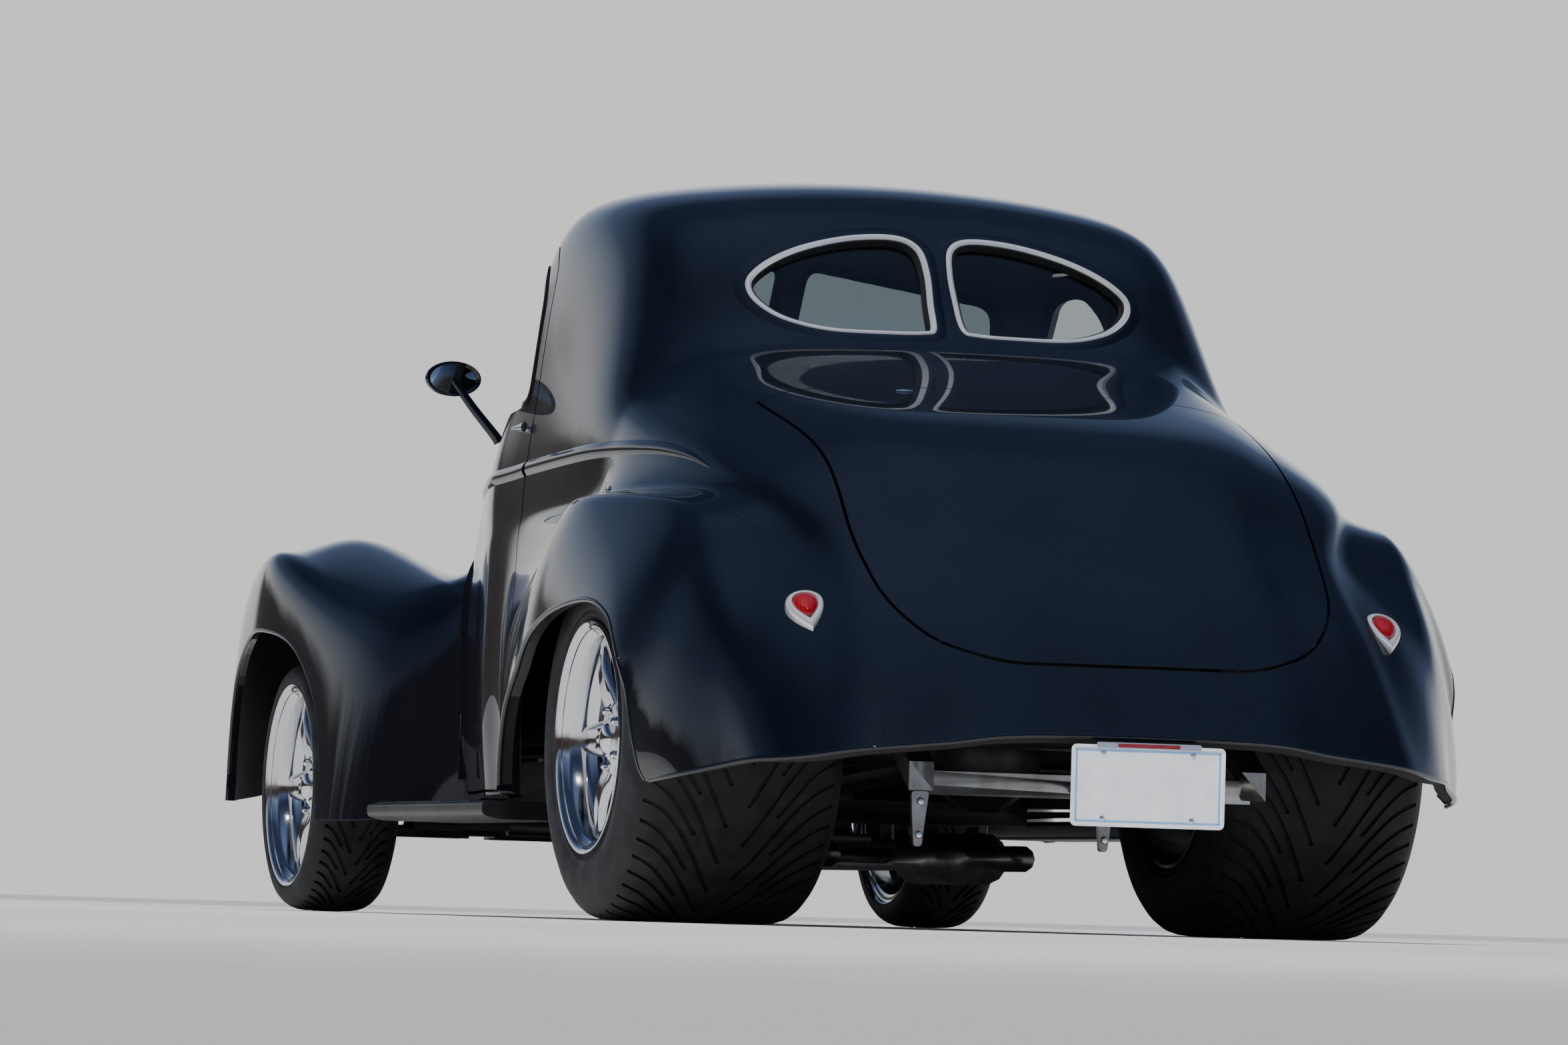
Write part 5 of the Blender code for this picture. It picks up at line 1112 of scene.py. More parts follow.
for side, word in SIDES:
    line = sided(rear_glass_line, side)
    finds = outline_on_skin(line, 3.0, -1)
    trim(f"rear_ring_{word}", finds, RING_SECTION, stainless, "body", closed=True)
    trim(f"rear_rubber_{word}", finds, RUBBER_SECTION, seal_rubber, "body", closed=True)
    trim(f"rear_swell_{word}", finds, SWELL_SECTION, black_paint, "body", closed=True)
    pane(f"rear_pane_{word}", f"rear_window_{word}", line, REAR_GLASS_REACH)
    line = sided(windshield_line, side)
    pane(f"windshield_pane_{word}", f"windshield_{word}", line, WINDSHIELD_REACH)
    finds = outline_on_skin(line, -3.0, 1)
    trim(f"windshield_rubber_{word}", finds, RUBBER_SECTION, seal_rubber, "body", closed=True)
    trim(f"windshield_ring_{word}", finds, RING_SECTION, stainless, "body", closed=True)
    finds = skin.from_side(side, side_glass_line)
    trim(f"door_glass_channel_{word}", finds, CHANNEL_SECTION, seal_rubber, f"door_{word}", closed=True)

# %% [markdown]
# Tyres: very wide low ones behind, narrow ones in front. The carcass is spun from its
# section with rounded shoulders. The tread has a directional pattern, whose grooves sweep
# from the middle to both shoulders like the ribs of a leaf. Each groove is a thin curved
# slab, laid on the tread, and all of them are cut out of the carcass at once.
# %% Tyres
RIM_RADIUS = 0.2325
TYRE_BEAD_RADIUS = 0.2165
BEAD_SET = 0.0135
GROOVE_WIDTH = 0.0085
GROOVE_DEPTH = 0.007
GROOVE_STEPS = 12
TYRE_STEPS = 96
TREAD_EDGE = 0.030
SHOULDER = 0.066
SHOULDER_FALL = 8.5
# A long and a short groove: where each starts across the tread, the share of the long
# one's sweep, and how far it lags behind, in pitches
GROOVES = ((0.10, 1.0, 0.0), (0.42, 0.50, 0.5))
# Place, radius, width, x of the outer face, y, z, grooves round one side, sweep of a groove
TYRES = (
    ("rear", 0.3605, 0.445, 0.832, REAR_AXLE_Y, 0.36089, 26, 0.62),
    ("front", 0.2851, 0.205, 0.822, FRONT_AXLE_Y, 0.28554, 28, 0.34),
)


def tyre_section(radius, width):
    """Half a tyre's section as (radius, x), from the bead to the middle of the tread."""
    wall = radius - TYRE_BEAD_RADIUS
    side_wall = (
        (0.20, -0.0065), (0.26, -0.0060), (0.30, -0.0022), (0.48, -0.0002), (0.66, -0.0045), (0.80, -0.0135),
        (0.90, -0.0250), (0.955, -0.036), (0.985, -0.050),
    )
    half = [(TYRE_BEAD_RADIUS, -BEAD_SET), (RIM_RADIUS + 0.003, -BEAD_SET)]
    half += [(TYRE_BEAD_RADIUS + share * wall, x) for share, x in side_wall] + [(radius - 0.0006, -0.068)]
    return half + [(radius, mix(-0.068, -width / 2, share)) for share in (0.25, 0.6, 1.0)]


def groove_strip(side, start, inner, sweep, radius, half):
    """Rows of two points on both sides of one groove's middle line."""
    middle = []
    for step in range(GROOVE_STEPS + 1):
        t = step / GROOVE_STEPS
        x = (half - TREAD_EDGE) * mix(inner, 1.0, t**0.9)
        fall = max(x - half + SHOULDER, 0.0) ** 2 * SHOULDER_FALL
        middle.append((side * x, radius - fall, start + sweep * (1 - t) ** 1.9))
    rows = []
    for i, (x, r, angle) in enumerate(middle):
        x0, _, a0 = middle[max(i - 1, 0)]
        x1, _, a1 = middle[min(i + 1, GROOVE_STEPS)]
        along = Vector((x1 - x0, radius * (a1 - a0))).normalized()
        over = Vector((-along.y, along.x)) * GROOVE_WIDTH / 2
        row = []
        for sign in (-1, 1):
            turn = angle + sign * over.y / radius
            row.append(Vector((x + sign * over.x - half, r * math.sin(turn), r * math.cos(turn))))
        rows.append(row)
    return rows


def groove_strips(bm, radius, width, pitches, long_reach):
    """Thin strips that lie on the tread along each groove."""
    for side in (1, -1):
        for pitch in range(pitches):
            start = math.tau * (pitch + (0.5 if side < 0 else 0.0)) / pitches
            for inner, sweep_share, lag in GROOVES:
                lagging = start + math.tau * lag / pitches
                strip = groove_strip(side, lagging, inner, long_reach * sweep_share, radius, width / 2)
                added(bm, laid_grid, strip)
    bmesh.ops.recalc_face_normals(bm, faces=bm.faces)


def make_tyre(radius, width, pitches, long_reach):
    """One tyre about X with its outer face at x = 0."""
    half = tyre_section(radius, width)
    profile = half + [(r, -width - x) for r, x in reversed(half[:-1])]
    carcass = link("carcass", mesh_of("carcass", turned, profile, TYRE_STEPS, (0, 0, 0), (1, 0, 0), True))
    slabs = link("slabs", mesh_of("slabs", groove_strips, radius, width, pitches, long_reach))
    thick = slabs.modifiers.new("depth", "SOLIDIFY")
    thick.thickness = 2 * GROOVE_DEPTH
    thick.offset = 0.0
    slabs = settled(slabs, "slabs")
    cut(carcass, [slabs])
    carcass = settled(carcass, "tyre")
    clear_away(slabs)
    return softened(carcass, math.radians(30))


for place, radius, width, face_x, y, z, pitches, long_reach in TYRES:
    tyre = make_tyre(radius, width, pitches, long_reach)
    for side, word in SIDES:
        mesh = tyre.data.copy()
        if side < 0:
            mesh.transform(Matrix.Translation((width, 0, 0)))
        mesh.transform(Matrix.Translation((side * face_x, y, z)))
        piece = link(f"tyre_tread_{place}_{word}", mesh, tyre_rubber)
        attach(piece, f"wheel_{place}_{word}")
        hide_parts(f"tyre_{place}_{word}")
    print(place, "tyre", len(tyre.data.polygons), "faces")
    clear_away(tyre)

# %% [markdown]
# Wheels: polished one-piece look with a deep stepped lip and five spokes that widen towards
# the hub. Lip and barrel are spun, each spoke is a rounded bar swept outwards with changing
# width, and the centre has a domed cap inside a ring of nuts.
# %% Wheels
SPOKES = 5
SPOKE_STEPS = 12
SPOKE_SECTION = (
    (-1.0, 0.0), (-0.86, 0.62), (-0.55, 0.96), (-0.22, 0.74), (0.22, 0.74), (0.55, 0.96), (0.86, 0.62), (1.0, 0.0),
    (0.8, -0.7), (-0.8, -0.7),
)
HUB = (
    (0.0, -0.042), (0.034, -0.042), (0.040, -0.046), (0.052, -0.049), (0.070, -0.052), (0.078, -0.058),
    (0.080, -0.070), (0.076, -0.092), (0.031, -0.092), (0.030, -0.060), (0.0, -0.060),
)
NUT = ((0.0, 0.016), (0.005, 0.0155), (0.0085, 0.012), (0.0095, 0.0), (0.0095, -0.008), (0.0, -0.008))
CAP = ((0.0, -0.030), (0.012, -0.0308), (0.024, -0.034), (0.031, -0.0395), (0.033, -0.046), (0.0, -0.046))


def rim_section(width):
    """The lip and barrel of a wheel about X with its outer face at x = 0."""
    seat = TYRE_BEAD_RADIUS - 0.0005
    return [
        (0.2312, 0.0), (0.2325, -0.003), (0.2325, -0.0092), (0.230, -0.0098), (seat, -0.0098), (seat, -width + 0.0098),
        (0.2325, -width + 0.0092), (0.2325, -width + 0.002), (0.2312, -width), (0.2285, -width + 0.002),
        (0.2260, -width + 0.008), (seat - 0.006, -width + 0.016), (seat - 0.008, -width * 0.72), (0.182, -width * 0.60),
        (0.182, -0.075), (0.1935, -0.064), (0.1985, -0.060), (0.2000, -0.055), (0.2010, -0.028), (0.2060, -0.022),
        (0.2110, -0.0195), (0.2200, -0.006), (0.2250, -0.0015),
    ]


def wheel_spokes(bm):
    for i in range(SPOKES):
        turn = Matrix.Rotation(math.tau * (i + 0.25) / SPOKES, 3, "X")
        shares = [step / SPOKE_STEPS for step in range(SPOKE_STEPS + 1)]
        path = [turn @ Vector((-0.066 + 0.014 * math.sin(math.pi * t * 0.9), 0, mix(0.060, 0.201, t))) for t in shares]
        ups = [turn @ Vector((1, 0, 0))] * len(path)
        added(bm, swept, path, ups, SPOKE_SECTION, False, lambda t: (0.041 - 0.016 * t**0.7, 0.014))


def wheel_nuts(bm):
    for i in range(SPOKES):
        angle = math.tau * (i + 0.75) / SPOKES
        added(bm, turned, NUT, 12, (-0.0535, 0.057 * math.sin(angle), 0.057 * math.cos(angle)))


for place, radius, width, face_x, y, z, pitches, long_reach in TYRES:
    face = BEAD_SET - 0.0103
    for part, material, mesh in (
        ("rim", aluminium, mesh_of("rim", turned, rim_section(width - 2 * face), 96, (0, 0, 0), (1, 0, 0), True)),
        ("hub", aluminium, mesh_of("hub", turned, HUB)),
        ("spokes", aluminium, mesh_of("spokes", wheel_spokes)),
        ("nuts", chrome, mesh_of("nuts", wheel_nuts)),
        ("cap", chrome, mesh_of("cap", turned, CAP)),
    ):
        for side, word in SIDES:
            copy = mesh.copy()
            copy.transform(Matrix.Translation((-face, 0, 0)))
            if side < 0:
                copy.transform(Matrix.Rotation(math.pi, 4, "Z"))
            copy.transform(Matrix.Translation((side * face_x, y, z)))
            name = f"wheel_{part}_{place}_{word}"
            fitted(name, copy, material, f"wheel_{place}_{word}", f"rim_{place}_{word}")
print("wheels done")

# %% [markdown]
# Tail lamps: drop-shaped bright bezels with the point down and an oval red lens in the upper
# part. Rings of the drop outline are stacked into a low dome that stands on the fender. The
# outline is the classic drop curve, in which one end of an oval is pinched to a point.
# %% Tail lamps
LAMP_HALF_WIDTH = 0.0425
LAMP_HALF_HEIGHT = 0.0545
LAMP_TURN = 0.35
LAMP_LEAN = 0.14
DROP_STEPS = 40
# How far each ring is shrunk, raised off the skin, and moved up towards the round end
BEZEL_RINGS = (
    (1.0, -0.018, 0.0), (1.0, 0.003, 0.0), (0.95, 0.0085, 0.0), (0.84, 0.0125, 0.002), (0.70, 0.0122, 0.005),
    (0.62, 0.008, 0.008), (0.60, -0.012, 0.008),
)
LENS_RINGS = (
    (0.56, -0.004, 0.009), (0.56, 0.009, 0.009), (0.49, 0.0145, 0.010), (0.33, 0.0185, 0.011), (0.13, 0.0202, 0.011),
    (0.0, 0.0205, 0.011),
)


def drop(angle, oval):
    """A point of the drop outline; oval rounds its pointed end off."""
    pinch = abs(math.sin(angle / 2)) ** mix(1.1, 0.25, oval)
    return Vector((LAMP_HALF_WIDTH * 1.18 * math.sin(angle) * pinch, -LAMP_HALF_HEIGHT * math.cos(angle)))


def lamp_dome(bm, centre, across, upward, outward, rings, oval):
    rows = []
    for size, rise, shift in rings:
        row = []
        for step in range(DROP_STEPS + 1):
            p = drop(math.tau * step / DROP_STEPS, oval) * size
            row.append(centre + across * p.x + upward * (p.y + shift) + outward * rise)
        rows.append(row)
    laid_grid(bm, rows)
    closed_up(bm, fill=True)


for side, word in SIDES:
    spot, normal = skin.hit((side * 0.590, 3.0, 0.600), (0, -1, 0))
    # The lamp faces backwards more than the fender does, and its point leans inwards a little
    normal = Vector((normal.x * LAMP_TURN, normal.y, normal.z)).normalized()
    across = Vector((side * LAMP_LEAN, 0, 1)).cross(normal).normalized()
    upward = normal.cross(across).normalized()
    for part, rings, oval, material in (("bezel", BEZEL_RINGS, 0.0, stainless), ("lens", LENS_RINGS, 0.8, red_lens)):
        mesh = mesh_of(part, lamp_dome, spot, across, upward, normal, rings, oval)
        fitted(f"tail_{part}_{word}", mesh, material, "body", f"taillight_{word}", angle=math.radians(50))

# %% [markdown]
# Door mirrors: an oval painted shell on a slim stalk, with the silvered glass towards the
# driver. The shell is a spun dome, flattened into an oval before it is put in place. The
# drop-shaped door handle sits at the rear edge of the door, under the window.
# %% Mirrors and door handles
MIRROR_FOOT = Vector((0.665, -0.24, 1.04))
MIRROR_HEAD = Vector((0.755, -0.26, 1.157))
MIRROR_HEIGHT_SHARE = 0.62
MIRROR_SHELL = (
    (0.0, -0.002), (0.050, -0.002), (0.0545, -0.0085), (0.058, -0.0105), (0.0610, -0.0095), (0.0618, -0.006),
    (0.0610, 0.006), (0.056, 0.020), (0.046, 0.033), (0.030, 0.043), (0.014, 0.0485), (0.0, 0.050),
)
MIRROR_GLASS = ((0.0, -0.0025), (0.052, -0.0025), (0.052, -0.0035), (0.030, -0.0045), (0.0, -0.005))
HANDLE_Z = 1.034
HANDLE_FRONT, HANDLE_BACK, HANDLE_POST = 0.045, 0.140, 0.118
SIX_SHARES = (0, 0.2, 0.4, 0.6, 0.8, 1.0)


def oval_head(bm, profile, head):
    turned(bm, profile, 64, (0, 0, 0), FORWARDS)
    bmesh.ops.scale(bm, vec=(1, 1, MIRROR_HEIGHT_SHARE), verts=bm.verts)
    bmesh.ops.translate(bm, vec=head, verts=bm.verts)


for side, word in SIDES:
    door = f"door_{word}"
    head = Vector((side * MIRROR_HEAD.x, MIRROR_HEAD.y, MIRROR_HEAD.z))
    foot = Vector((side * MIRROR_FOOT.x, MIRROR_FOOT.y, MIRROR_FOOT.z))
    for part, profile, material in (("shell", MIRROR_SHELL, black_paint), ("glass", MIRROR_GLASS, mirror_glass)):
        mesh = mesh_of(part, oval_head, profile, head)
        fitted(f"mirror_{part}_{word}", mesh, material, door, f"mirror_{word}")
    bend = foot.lerp(head, 0.45) + Vector((side * 0.006, 0, 0.004))
    path = flowing([foot - Vector((side * 0.012, 0, 0.016)), foot, bend, head], 6, closed=False)
    stalk = [(p, Vector((0, 1, 0))) for p in path]
    section = round_section(0.0105, 0.0068, 12)
    trim(f"mirror_stalk_{word}", stalk, section, black_paint, door, scale=lambda t: (1.15 - 0.3 * t,) * 2)
    line = [(mix(HANDLE_FRONT, HANDLE_BACK, t), HANDLE_Z) for t in SIX_SHARES]
    trim(
        f"door_handle_{word}", raised(skin.from_side(side, line), 0.010), round_section(0.010, 0.007, 12), chrome, door,
        scale=lambda t: (0.35 + 0.75 * t, 0.5 + 0.5 * t),
    )
    [(spot, normal)] = skin.from_side(side, [(HANDLE_POST, HANDLE_Z)])
    post = [(spot - normal * 0.001, Vector((0, 0, 1))), (spot + normal * 0.012, Vector((0, 0, 1)))]
    trim(f"door_handle_post_{word}", post, round_section(0.007, 0.007, 12), chrome, door)

# %% [markdown]
# The rear plate is a pressed blank with rounded corners, a raised rim and a thin blue border
# line. It hangs on a dark bracket, and a slim lamp with a red window sits on its top edge.
# %% Plate
PLATE_WIDTH, PLATE_HEIGHT = 0.3085, 0.1545
PLATE_Y, PLATE_Z = 2.1385, 0.282
PLATE_CORNER = 0.012
PLATE_BOLTS = ((-0.09, 0.062), (0.09, 0.062), (-0.09, -0.062), (0.09, -0.062))
PLATE_BOLT = ((0.0, 0.0022), (0.004, 0.002), (0.0058, 0.0), (0.0058, -0.003), (0.0, -0.003))
BRACKET_FRONT_Y, BRACKET_Z = 1.7805, 0.2835


def round_box_line(width, height, corner, steps=6):
    w, h = width / 2, height / 2
    return rounded([(-w, -h), (w, -h), (w, h), (-w, h)], corner, steps)


def plate_ring(bm, outer, inner, low, high):
    """A flat frame between two outlines with the same number of points."""
    corners = ((outer, low), (outer, high), (inner, high), (inner, low), (outer, low))
    laid_grid(bm, [[Vector((x, y, PLATE_Z + z)) for x, z in [*line, line[0]]] for line, y in corners])
    closed_up(bm, fill=False)


def slab(line, z, low, high):
    """An upright slab with this outline, z above the ground, between two planes across Y."""
    return mesh_of("slab", prism_solid, [(x, z + dz) for x, dz in line], "Y", low, high)


full = round_box_line(PLATE_WIDTH, PLATE_HEIGHT, PLATE_CORNER)
bracket_line = [(-0.030, -0.012), (0.030, -0.012), (0.030, 0.012), (-0.030, 0.012)]
lamp_z = PLATE_Z + PLATE_HEIGHT / 2 - 0.0005
lamp_bar_line, lamp_window_line = round_box_line(0.21, 0.011, 0.004), round_box_line(0.125, 0.0075, 0.003)
rim_mesh = mesh_of("plate_rim", plate_ring, full, grown(full, -0.005), PLATE_Y - 0.003, PLATE_Y)
border_mesh = mesh_of(
    "plate_border", plate_ring, grown(full, -0.0085), grown(full, -0.0122), PLATE_Y - 0.0025, PLATE_Y - 0.0016,
)
for part, mesh, material in (
    ("blank", slab(full, PLATE_Z, PLATE_Y - 0.0035, PLATE_Y - 0.002), plate_enamel),
    ("rim", rim_mesh, plate_enamel),
    ("border", border_mesh, plate_ink),
    ("bracket", slab(bracket_line, BRACKET_Z, BRACKET_FRONT_Y, PLATE_Y - 0.0034), chassis_paint),
    ("lamp", slab(lamp_bar_line, lamp_z, PLATE_Y - 0.030, PLATE_Y + 0.0005), chrome),
    ("lamp_window", slab(lamp_window_line, lamp_z, PLATE_Y - 0.010, PLATE_Y + 0.0012), red_lens),
):
    piece = link(f"plate_{part}", mesh, material)
    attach(piece, "body")
    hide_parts("plate")
for index, (x, z) in enumerate(PLATE_BOLTS):
    lathed(f"plate_bolt_{index}", PLATE_BOLT, chrome, "body", (x, PLATE_Y - 0.0018, PLATE_Z + z), BACKWARDS, 16)
print("plate", PLATE_WIDTH, "m wide")

# %% [markdown]
# The lower edge of the tail is rolled over a wire, which stiffens it and gives the bright
# line that runs from fender to fender. The same bead is swept along the edge of the skin. A
# small bright cover sits near the lid's top edge.
# %% Tail bead and striker cover
COVER_XS = (0.196, 0.205, 0.214, 0.223, 0.232)
COVER_Y, COVER_Z = 1.236, 1.074
last_rows = list(section_rows(SKIN_SHARES[-1]))
lip = [Vector((-p.x, p.y, p.z)) for p in reversed(last_rows[1:])] + last_rows
finds = [skin.near(p)[:2] for p in flowing(lip, 4, closed=False)]
trim("tail_lip_bead", raised(finds, -0.003), EDGE_BEAD, black_paint, "body")
finds = raised([skin.near(Vector((x, COVER_Y, COVER_Z)))[:2] for x in COVER_XS], 0.001)
trim(
    "striker_cover", finds, round_section(0.007, 0.004), chrome, "body",
    scale=lambda t: (math.sin(math.pi * mix(0.15, 0.85, t)),) * 2,
)
print("tail bead", len(lip), "points")

# %% [markdown]
# Running boards: pressed steel with a rounded outer edge, and a rubber mat whose raised ribs
# run lengthwise for grip. The board is a profile pushed along Y, and each rib is swept.
# %% Running boards
BOARD_LOW_Y, BOARD_HIGH_Y = -0.588, 0.386
BOARD_RIBS = 9
BOARD_SECTION = ((0.602, 0.203), (0.800, 0.203), (0.8335, 0.212), (0.8335, 0.236), (0.820, 0.2405), (0.602, 0.2405))
RIB_YS = (BOARD_LOW_Y + 0.02, BOARD_LOW_Y + 0.03, -0.1, BOARD_HIGH_Y - 0.17, BOARD_HIGH_Y - 0.16)
RIB_Z = 0.2402


def board_ribs(bm, side):
    for i in range(BOARD_RIBS):
        x = side * mix(0.655, 0.812, i / (BOARD_RIBS - 1))
        path, ups = [Vector((x, y, RIB_Z)) for y in RIB_YS], [Vector((0, 0, 1))] * len(RIB_YS)
        section = round_section(0.0062, 0.0038, 10)
        added(bm, swept, path, ups, section, False, lambda t: (1.0, 0.3 if t in (0.0, 1.0) else 1.0))


for side, word in SIDES:
    line = sided(rounded(BOARD_SECTION, 0.010), side)
    board = mesh_of("board", prism_solid, line, "Y", BOARD_LOW_Y, BOARD_HIGH_Y)
    fitted(f"board_{word}", board, chassis_paint, "body", f"running_board_{word}")
    fitted(f"board_mat_{word}", mesh_of("board_mat", board_ribs, side), seal_rubber, "body", f"running_board_{word}")

# %% [markdown]
# Seat: two bucket halves side by side in tan hide, each a cushion and a back. A trimmer sews
# channels down the middle panel, keeps the outer bolsters plain and closes the edge with a
# welt. The top is a grid that is crowned and falls away at its edges, its sides bulge a
# little, and the channels are pressed into it.
# %% Seat
CHANNELS = (-0.105, -0.063, -0.021, 0.021, 0.063, 0.105)
CHANNEL_DEPTH = 0.009
CHANNEL_HALF = 0.0065
BOLSTER_AT = 0.150
BOLSTER_CREST, BOLSTER_HEIGHT, BOLSTER_HALF = 0.195, 0.016, 0.030
PAD_EDGE = 0.034
PAD_CELLS = (110, 48)
# How far the side of a pad steps out and down, as metres and as shares of its height
PAD_SIDE = ((0.006, 0.4), (-0.004, 0.35), (-0.012, 0.25))


def bump_at(offset, half):
    return math.exp(-((offset / half) ** 2))


def edge_fall(gap):
    """How far a pad's top has dropped at this distance from its edge."""
    gap = max(gap, 0.0)
    return 0.0 if gap > PAD_EDGE else PAD_EDGE - math.sqrt(max(PAD_EDGE**2 - (PAD_EDGE - gap) ** 2, 0.0))


def pad_height(u, v, x, width, length, depth, crown):
    height = depth + crown * (1 - u * u) * (1 - v * v)
    height -= edge_fall((1 - abs(u)) * width / 2) + edge_fall((1 - abs(v)) * length / 2) * 0.9
    inside = 1.0 / (1.0 + math.exp((abs(v) - 0.80) * 60))
    for seam in CHANNELS:
        height -= CHANNEL_DEPTH * inside * bump_at(x - seam, CHANNEL_HALF)
    for seam in (-BOLSTER_AT, BOLSTER_AT):
        height -= CHANNEL_DEPTH * 1.3 * bump_at(x - seam, CHANNEL_HALF * 1.4)
    return height + BOLSTER_HEIGHT * bump_at(abs(x) - BOLSTER_CREST, BOLSTER_HALF) * (1 - v**6)


def pillow(bm, origin, across, along, out, size, depth, crown, rim):
    """A crowned pad; rim collects the points of its upper edge."""
    width, length = size
    count_u, count_v = PAD_CELLS
    rows = []
    for i in range(count_u + 1):
        u = math.sin(math.pi / 2 * mix(-1, 1, i / count_u) * 0.98) / math.sin(math.pi / 2 * 0.98)
        row = []
        for j in range(count_v + 1):
            v = mix(-1, 1, j / count_v)
            x, y = u * width / 2, v * length / 2
            height = pad_height(u, v, x, width, length, depth, crown)
            x *= math.sqrt(1 - 0.10 * v**4)
            y *= math.sqrt(1 - 0.10 * u**4)
            row.append(origin + across * x + along * y + out * height)
        rows.append(row)
    laid_grid(bm, rows)
    rim += rows[0] + [row[-1] for row in rows[1:]]
    rim += list(reversed(rows[-1]))[1:] + [row[0] for row in reversed(rows[1:-1])]
    edges = [e for e in bm.edges if e.is_boundary]
    for bulge, down in PAD_SIDE:
        made = bmesh.ops.extrude_edge_only(bm, edges=edges)["geom"]
        edges = [item for item in made if isinstance(item, bmesh.types.BMEdge) and item.is_boundary]
        for v in {v for e in edges for v in e.verts}:
            from_centre = v.co - origin
            flat = from_centre - out * from_centre.dot(out)
            v.co += flat.normalized() * bulge - out * (depth - 2 * PAD_EDGE) * down
    bmesh.ops.holes_fill(bm, edges=edges, sides=0)
    bmesh.ops.recalc_face_normals(bm, faces=bm.faces)


# Part, its centre on the left side, its lengthwise and outward directions, height, size, crown
SEAT_PARTS = (
    ("cushion", (0.248, 0.245, 0.375), (0, 1, 0.05), 1, 0.175, (0.478, 0.42), 0.014),
    ("back", (0.248, 0.548, 0.800), (0, 0.06, 1), 1, 0.094, (0.470, 0.53), 0.012),
)
SHELL_SECTION = (
    (0.03, 0.366), (0.585, 0.366), (0.598, 0.40), (0.598, 1.03), (0.580, 1.045), (0.560, 1.03), (0.545, 0.42),
    (0.03, 0.395),
)
across = Vector((1, 0, 0))
for side, word in SIDES:
    for part, (x, y, z), along, turn, depth, size, crown in SEAT_PARTS:
        along = Vector(along).normalized()
        out = across.cross(along).normalized() * turn
        rim = []
        mesh = mesh_of(f"seat_{part}", pillow, Vector((side * x, y, z)), across, along, out, size, depth, crown, rim)
        pad = link(f"seat_{part}_{word}", mesh, tan_leather)
        pad.data.shade_smooth()
        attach(pad, "body")
        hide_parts("seat")
        path = [p + out * 0.001 for p in rim[::2]]
        welt = mesh_of("welt", swept, path, [out] * len(path), round_section(0.0042, 0.0042, 10), True)
        fitted(f"seat_welt_{part}_{word}", welt, piping, "body", "seat", angle=math.radians(60))
shell = mesh_of("seat_shell", prism_solid, rounded(SHELL_SECTION, 0.02), "X", -0.488, 0.488)
fitted("seat_shell", shell, black_vinyl, "body", "seat")

# %% [markdown]
# Dash and steering: a painted steel dash with a rolled top, round instruments with bright
# bezels, a slim column and a three-spoke wheel. The instruments are turned, and their
# needles stand just off the printed faces.
# %% Dashboard and steering wheel
DASH_SECTION = (
    (-0.479, 0.762), (-0.392, 0.762), (-0.384, 0.772), (-0.392, 0.790), (-0.392, 0.846), (-0.366, 0.872),
    (-0.366, 0.892), (-0.392, 0.899), (-0.479, 0.896),
)
GAUGES = ((0.265, 0.036), (0.395, 0.036), (0.085, 0.024), (0.0, 0.024), (-0.085, 0.024))
GAUGE_Y, GAUGE_Z = -0.392, 0.8165
BEZEL = ((1, -0.004), (1, 0.003), (0.96, 0.0055), (0.86, 0.0055), (0.84, 0.0), (0.84, -0.004))
FACE = ((0, 0.001), (0.85, 0.001), (0.85, -0.003), (0, -0.003))
COLUMN_FOOT = Vector((0.33, -0.50, 0.78))
WHEEL_CENTRE = Vector((0.33, -0.06, 0.93))
WHEEL_RADIUS, GRIP_RADIUS = 0.175, 0.0118
COLUMN = ((0.0, 0.0), (0.0215, 0.0), (0.0215, 0.385), (0.026, 0.388), (0.026, 0.4235), (0.0, 0.4235))
BOSS = ((0.0, 0.012), (0.018, 0.0115), (0.026, 0.008), (0.030, 0.0), (0.031, -0.016), (0.026, -0.036), (0.0, -0.038))
HORN = ((0.0, 0.0165), (0.009, 0.016), (0.0155, 0.0135), (0.017, 0.009), (0.0, 0.009))
STEERING_SPOKE = ((-1, -0.6), (-0.85, 0.5), (-0.3, 0.2), (0.3, 0.2), (0.85, 0.5), (1, -0.6))
dash = mesh_of("dash_panel", prism_solid, rounded(DASH_SECTION, 0.012), "X", -0.522, 0.522)
fitted("dash_panel", dash, black_paint, "body", "dashboard")
for index, (x, radius) in enumerate(GAUGES):
    place = (x, GAUGE_Y, GAUGE_Z)
    bezel = [(radius * share, rise) for share, rise in BEZEL]
    lathed(f"gauge_bezel_{index}", bezel, chrome, "body", place, BACKWARDS, 40, closed=True)
    face = [(radius * share, rise) for share, rise in FACE]
    lathed(f"gauge_face_{index}", face, gauge_face, "body", place, BACKWARDS, 40)
    turn = math.radians(35 + 40 * index)
    tip = Vector((math.sin(turn), 0, math.cos(turn))) * radius * 0.7
    centre = Vector((x, GAUGE_Y + 0.0028, GAUGE_Z))
    needle = [(p, Vector(BACKWARDS)) for p in (centre - tip * 0.2, centre, centre + tip)]
    section = round_section(0.0014, 0.0006, 6)
    trim(f"gauge_needle_{index}", needle, section, seal_rubber, "body", scale=lambda t: (1.2 - t, 1.0))
shaft = (WHEEL_CENTRE - COLUMN_FOOT).normalized()
wheel_up = Vector((0, -shaft.z, shaft.y))
lathed("steering_column", COLUMN, chassis_paint, "body", COLUMN_FOOT, shaft, 32, "dashboard")
grip = [(WHEEL_RADIUS + a, b) for a, b in round_section(GRIP_RADIUS, GRIP_RADIUS, 16)]
lathed("steering_rim", grip, black_vinyl, "steering_wheel", WHEEL_CENTRE, shaft, 72, "steering_wheel", closed=True)
lathed("steering_boss", BOSS, aluminium, "steering_wheel", WHEEL_CENTRE, shaft, 48)
lathed("horn_button", HORN, black_vinyl, "steering_wheel", WHEEL_CENTRE, shaft, 40)
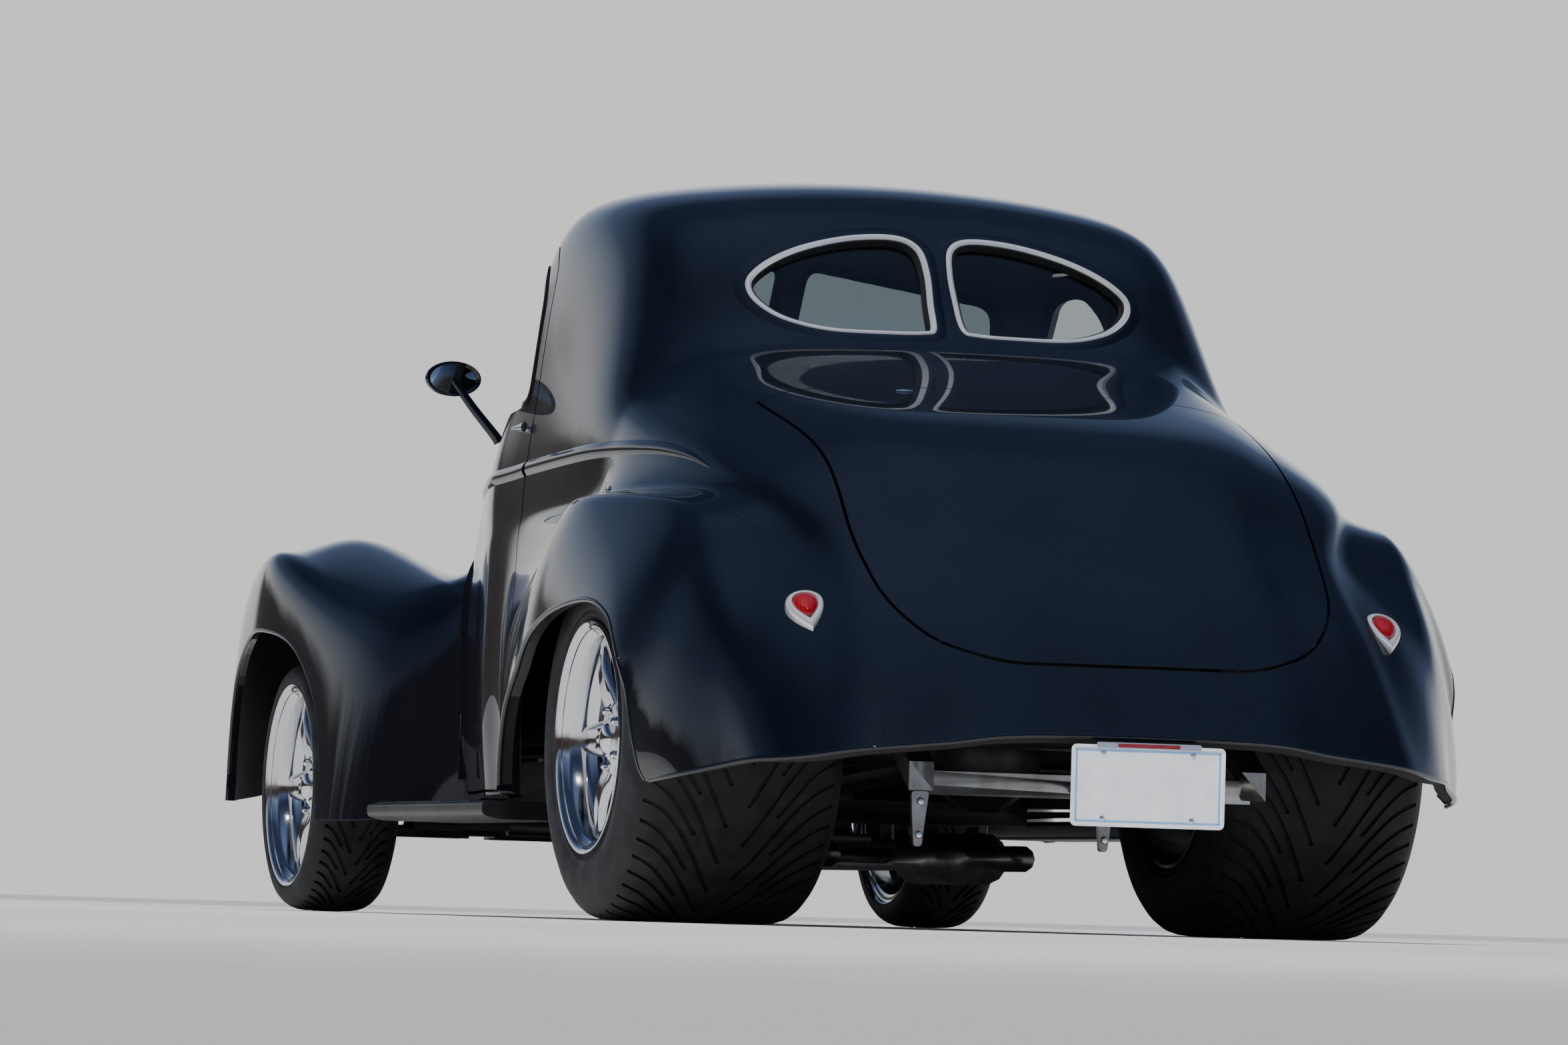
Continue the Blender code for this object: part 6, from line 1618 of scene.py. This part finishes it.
for index, degrees in enumerate((0, 180, 270)):
    angle = math.radians(degrees)
    way = Vector((1, 0, 0)) * math.cos(angle) + wheel_up * math.sin(angle)
    path = [WHEEL_CENTRE + way * mix(0.022, WHEEL_RADIUS, t) - shaft * 0.010 * (1 - t) for t in SIX_SHARES]
    trim(
        f"steering_spoke_{index}", [(p, shaft) for p in path], STEERING_SPOKE, aluminium, "steering_wheel",
        scale=lambda t: (mix(0.017, 0.011, t), 0.0032),
    )
print(len(GAUGES), "gauges")

# %% [markdown]
# The chassis and running gear keep the shapes of their solids. Each gets a merged, softly
# shaded copy and the finish of its maker: enamel on the frame and axle, a cast skin on the
# engine, heat-stained tube on the exhaust, turned steel on the brake discs. Which face gets
# which finish follows from where it is.
# %% Chassis and running gear


def dressed(node, body, finishes, choose=None):
    """A merged copy of a node's mesh in its finishes, which stands for the node."""
    bm = bmesh.new()
    bm.from_mesh(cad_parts[node].data)
    bmesh.ops.remove_doubles(bm, verts=bm.verts, dist=WELD)
    for face in bm.faces:
        face.material_index = int(choose(face.calc_center_median(), face.normal)) if choose else 0
    mesh = bpy.data.meshes.new(node + "_dressed")
    bm.to_mesh(mesh)
    bm.free()
    piece = softened(link(node + "_dressed", mesh, *finishes))
    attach(piece, body)
    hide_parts(node)


# Each node on the fixed body, its finishes, and which faces get the second one
DRESSED = (
    ("frame", (chassis_paint, bare_steel), lambda centre, normal: centre.y > 1.72 and centre.z < 0.34),
    ("front_suspension", (chassis_paint,), None),
    ("rear_axle", (chassis_paint, brake_steel), lambda centre, normal: abs(centre.x) > 0.655),
    ("engine", (cast_iron, chassis_paint), lambda centre, normal: centre.z < 0.30),
    ("exhaust", (bare_steel,), None),
    ("fuel_tank", (chassis_paint,), None),
    ("radiator", (radiator_core,), None),
    ("floor_pan", (undercoat, carpet), lambda centre, normal: normal.z > 0.3 or normal.y > 0.3),
)
for node, finishes, choose in DRESSED:
    dressed(node, "body", finishes, choose)
for side, word in SIDES:
    knuckle = f"knuckle_{word}"
    dressed(knuckle, knuckle, (chassis_paint, brake_steel), lambda centre, normal: abs(centre.x) > 0.69)

# %% [markdown]
# Two tapering steel straps hang from the rear crossmember, each with two bolts through it.
# They are cut from flat bar, so each is a tapering outline pushed to its thickness.
# %% Hanging straps
STRAP_XS = (0.338, -0.040)
STRAP_LINE = ((-0.018, 0.266), (0.018, 0.266), (0.016, 0.222), (0.011, 0.160), (-0.005, 0.160), (-0.012, 0.222))
STRAP_FRONT_Y, STRAP_BACK_Y = 1.776, 1.788
STRAP_BOLT = ((0.0, 0.006), (0.006, 0.0055), (0.0085, 0.003), (0.0085, -0.002), (0.0, -0.002))
for index, x in enumerate(STRAP_XS):
    line = rounded([(x + dx, z) for dx, z in STRAP_LINE], 0.008)
    strap = mesh_of("hanging_strap", prism_solid, line, "Y", STRAP_FRONT_Y, STRAP_BACK_Y)
    fitted(f"hanging_strap_{index}", strap, bare_steel, "body")
    for z, dx in ((0.246, 0.0), (0.182, 0.002)):
        name = f"strap_bolt_{index}_{int(z * 1000)}"
        lathed(name, STRAP_BOLT, chrome, "body", (x + dx, STRAP_BACK_Y, z), BACKWARDS, 6)
print(len(STRAP_XS), "straps")
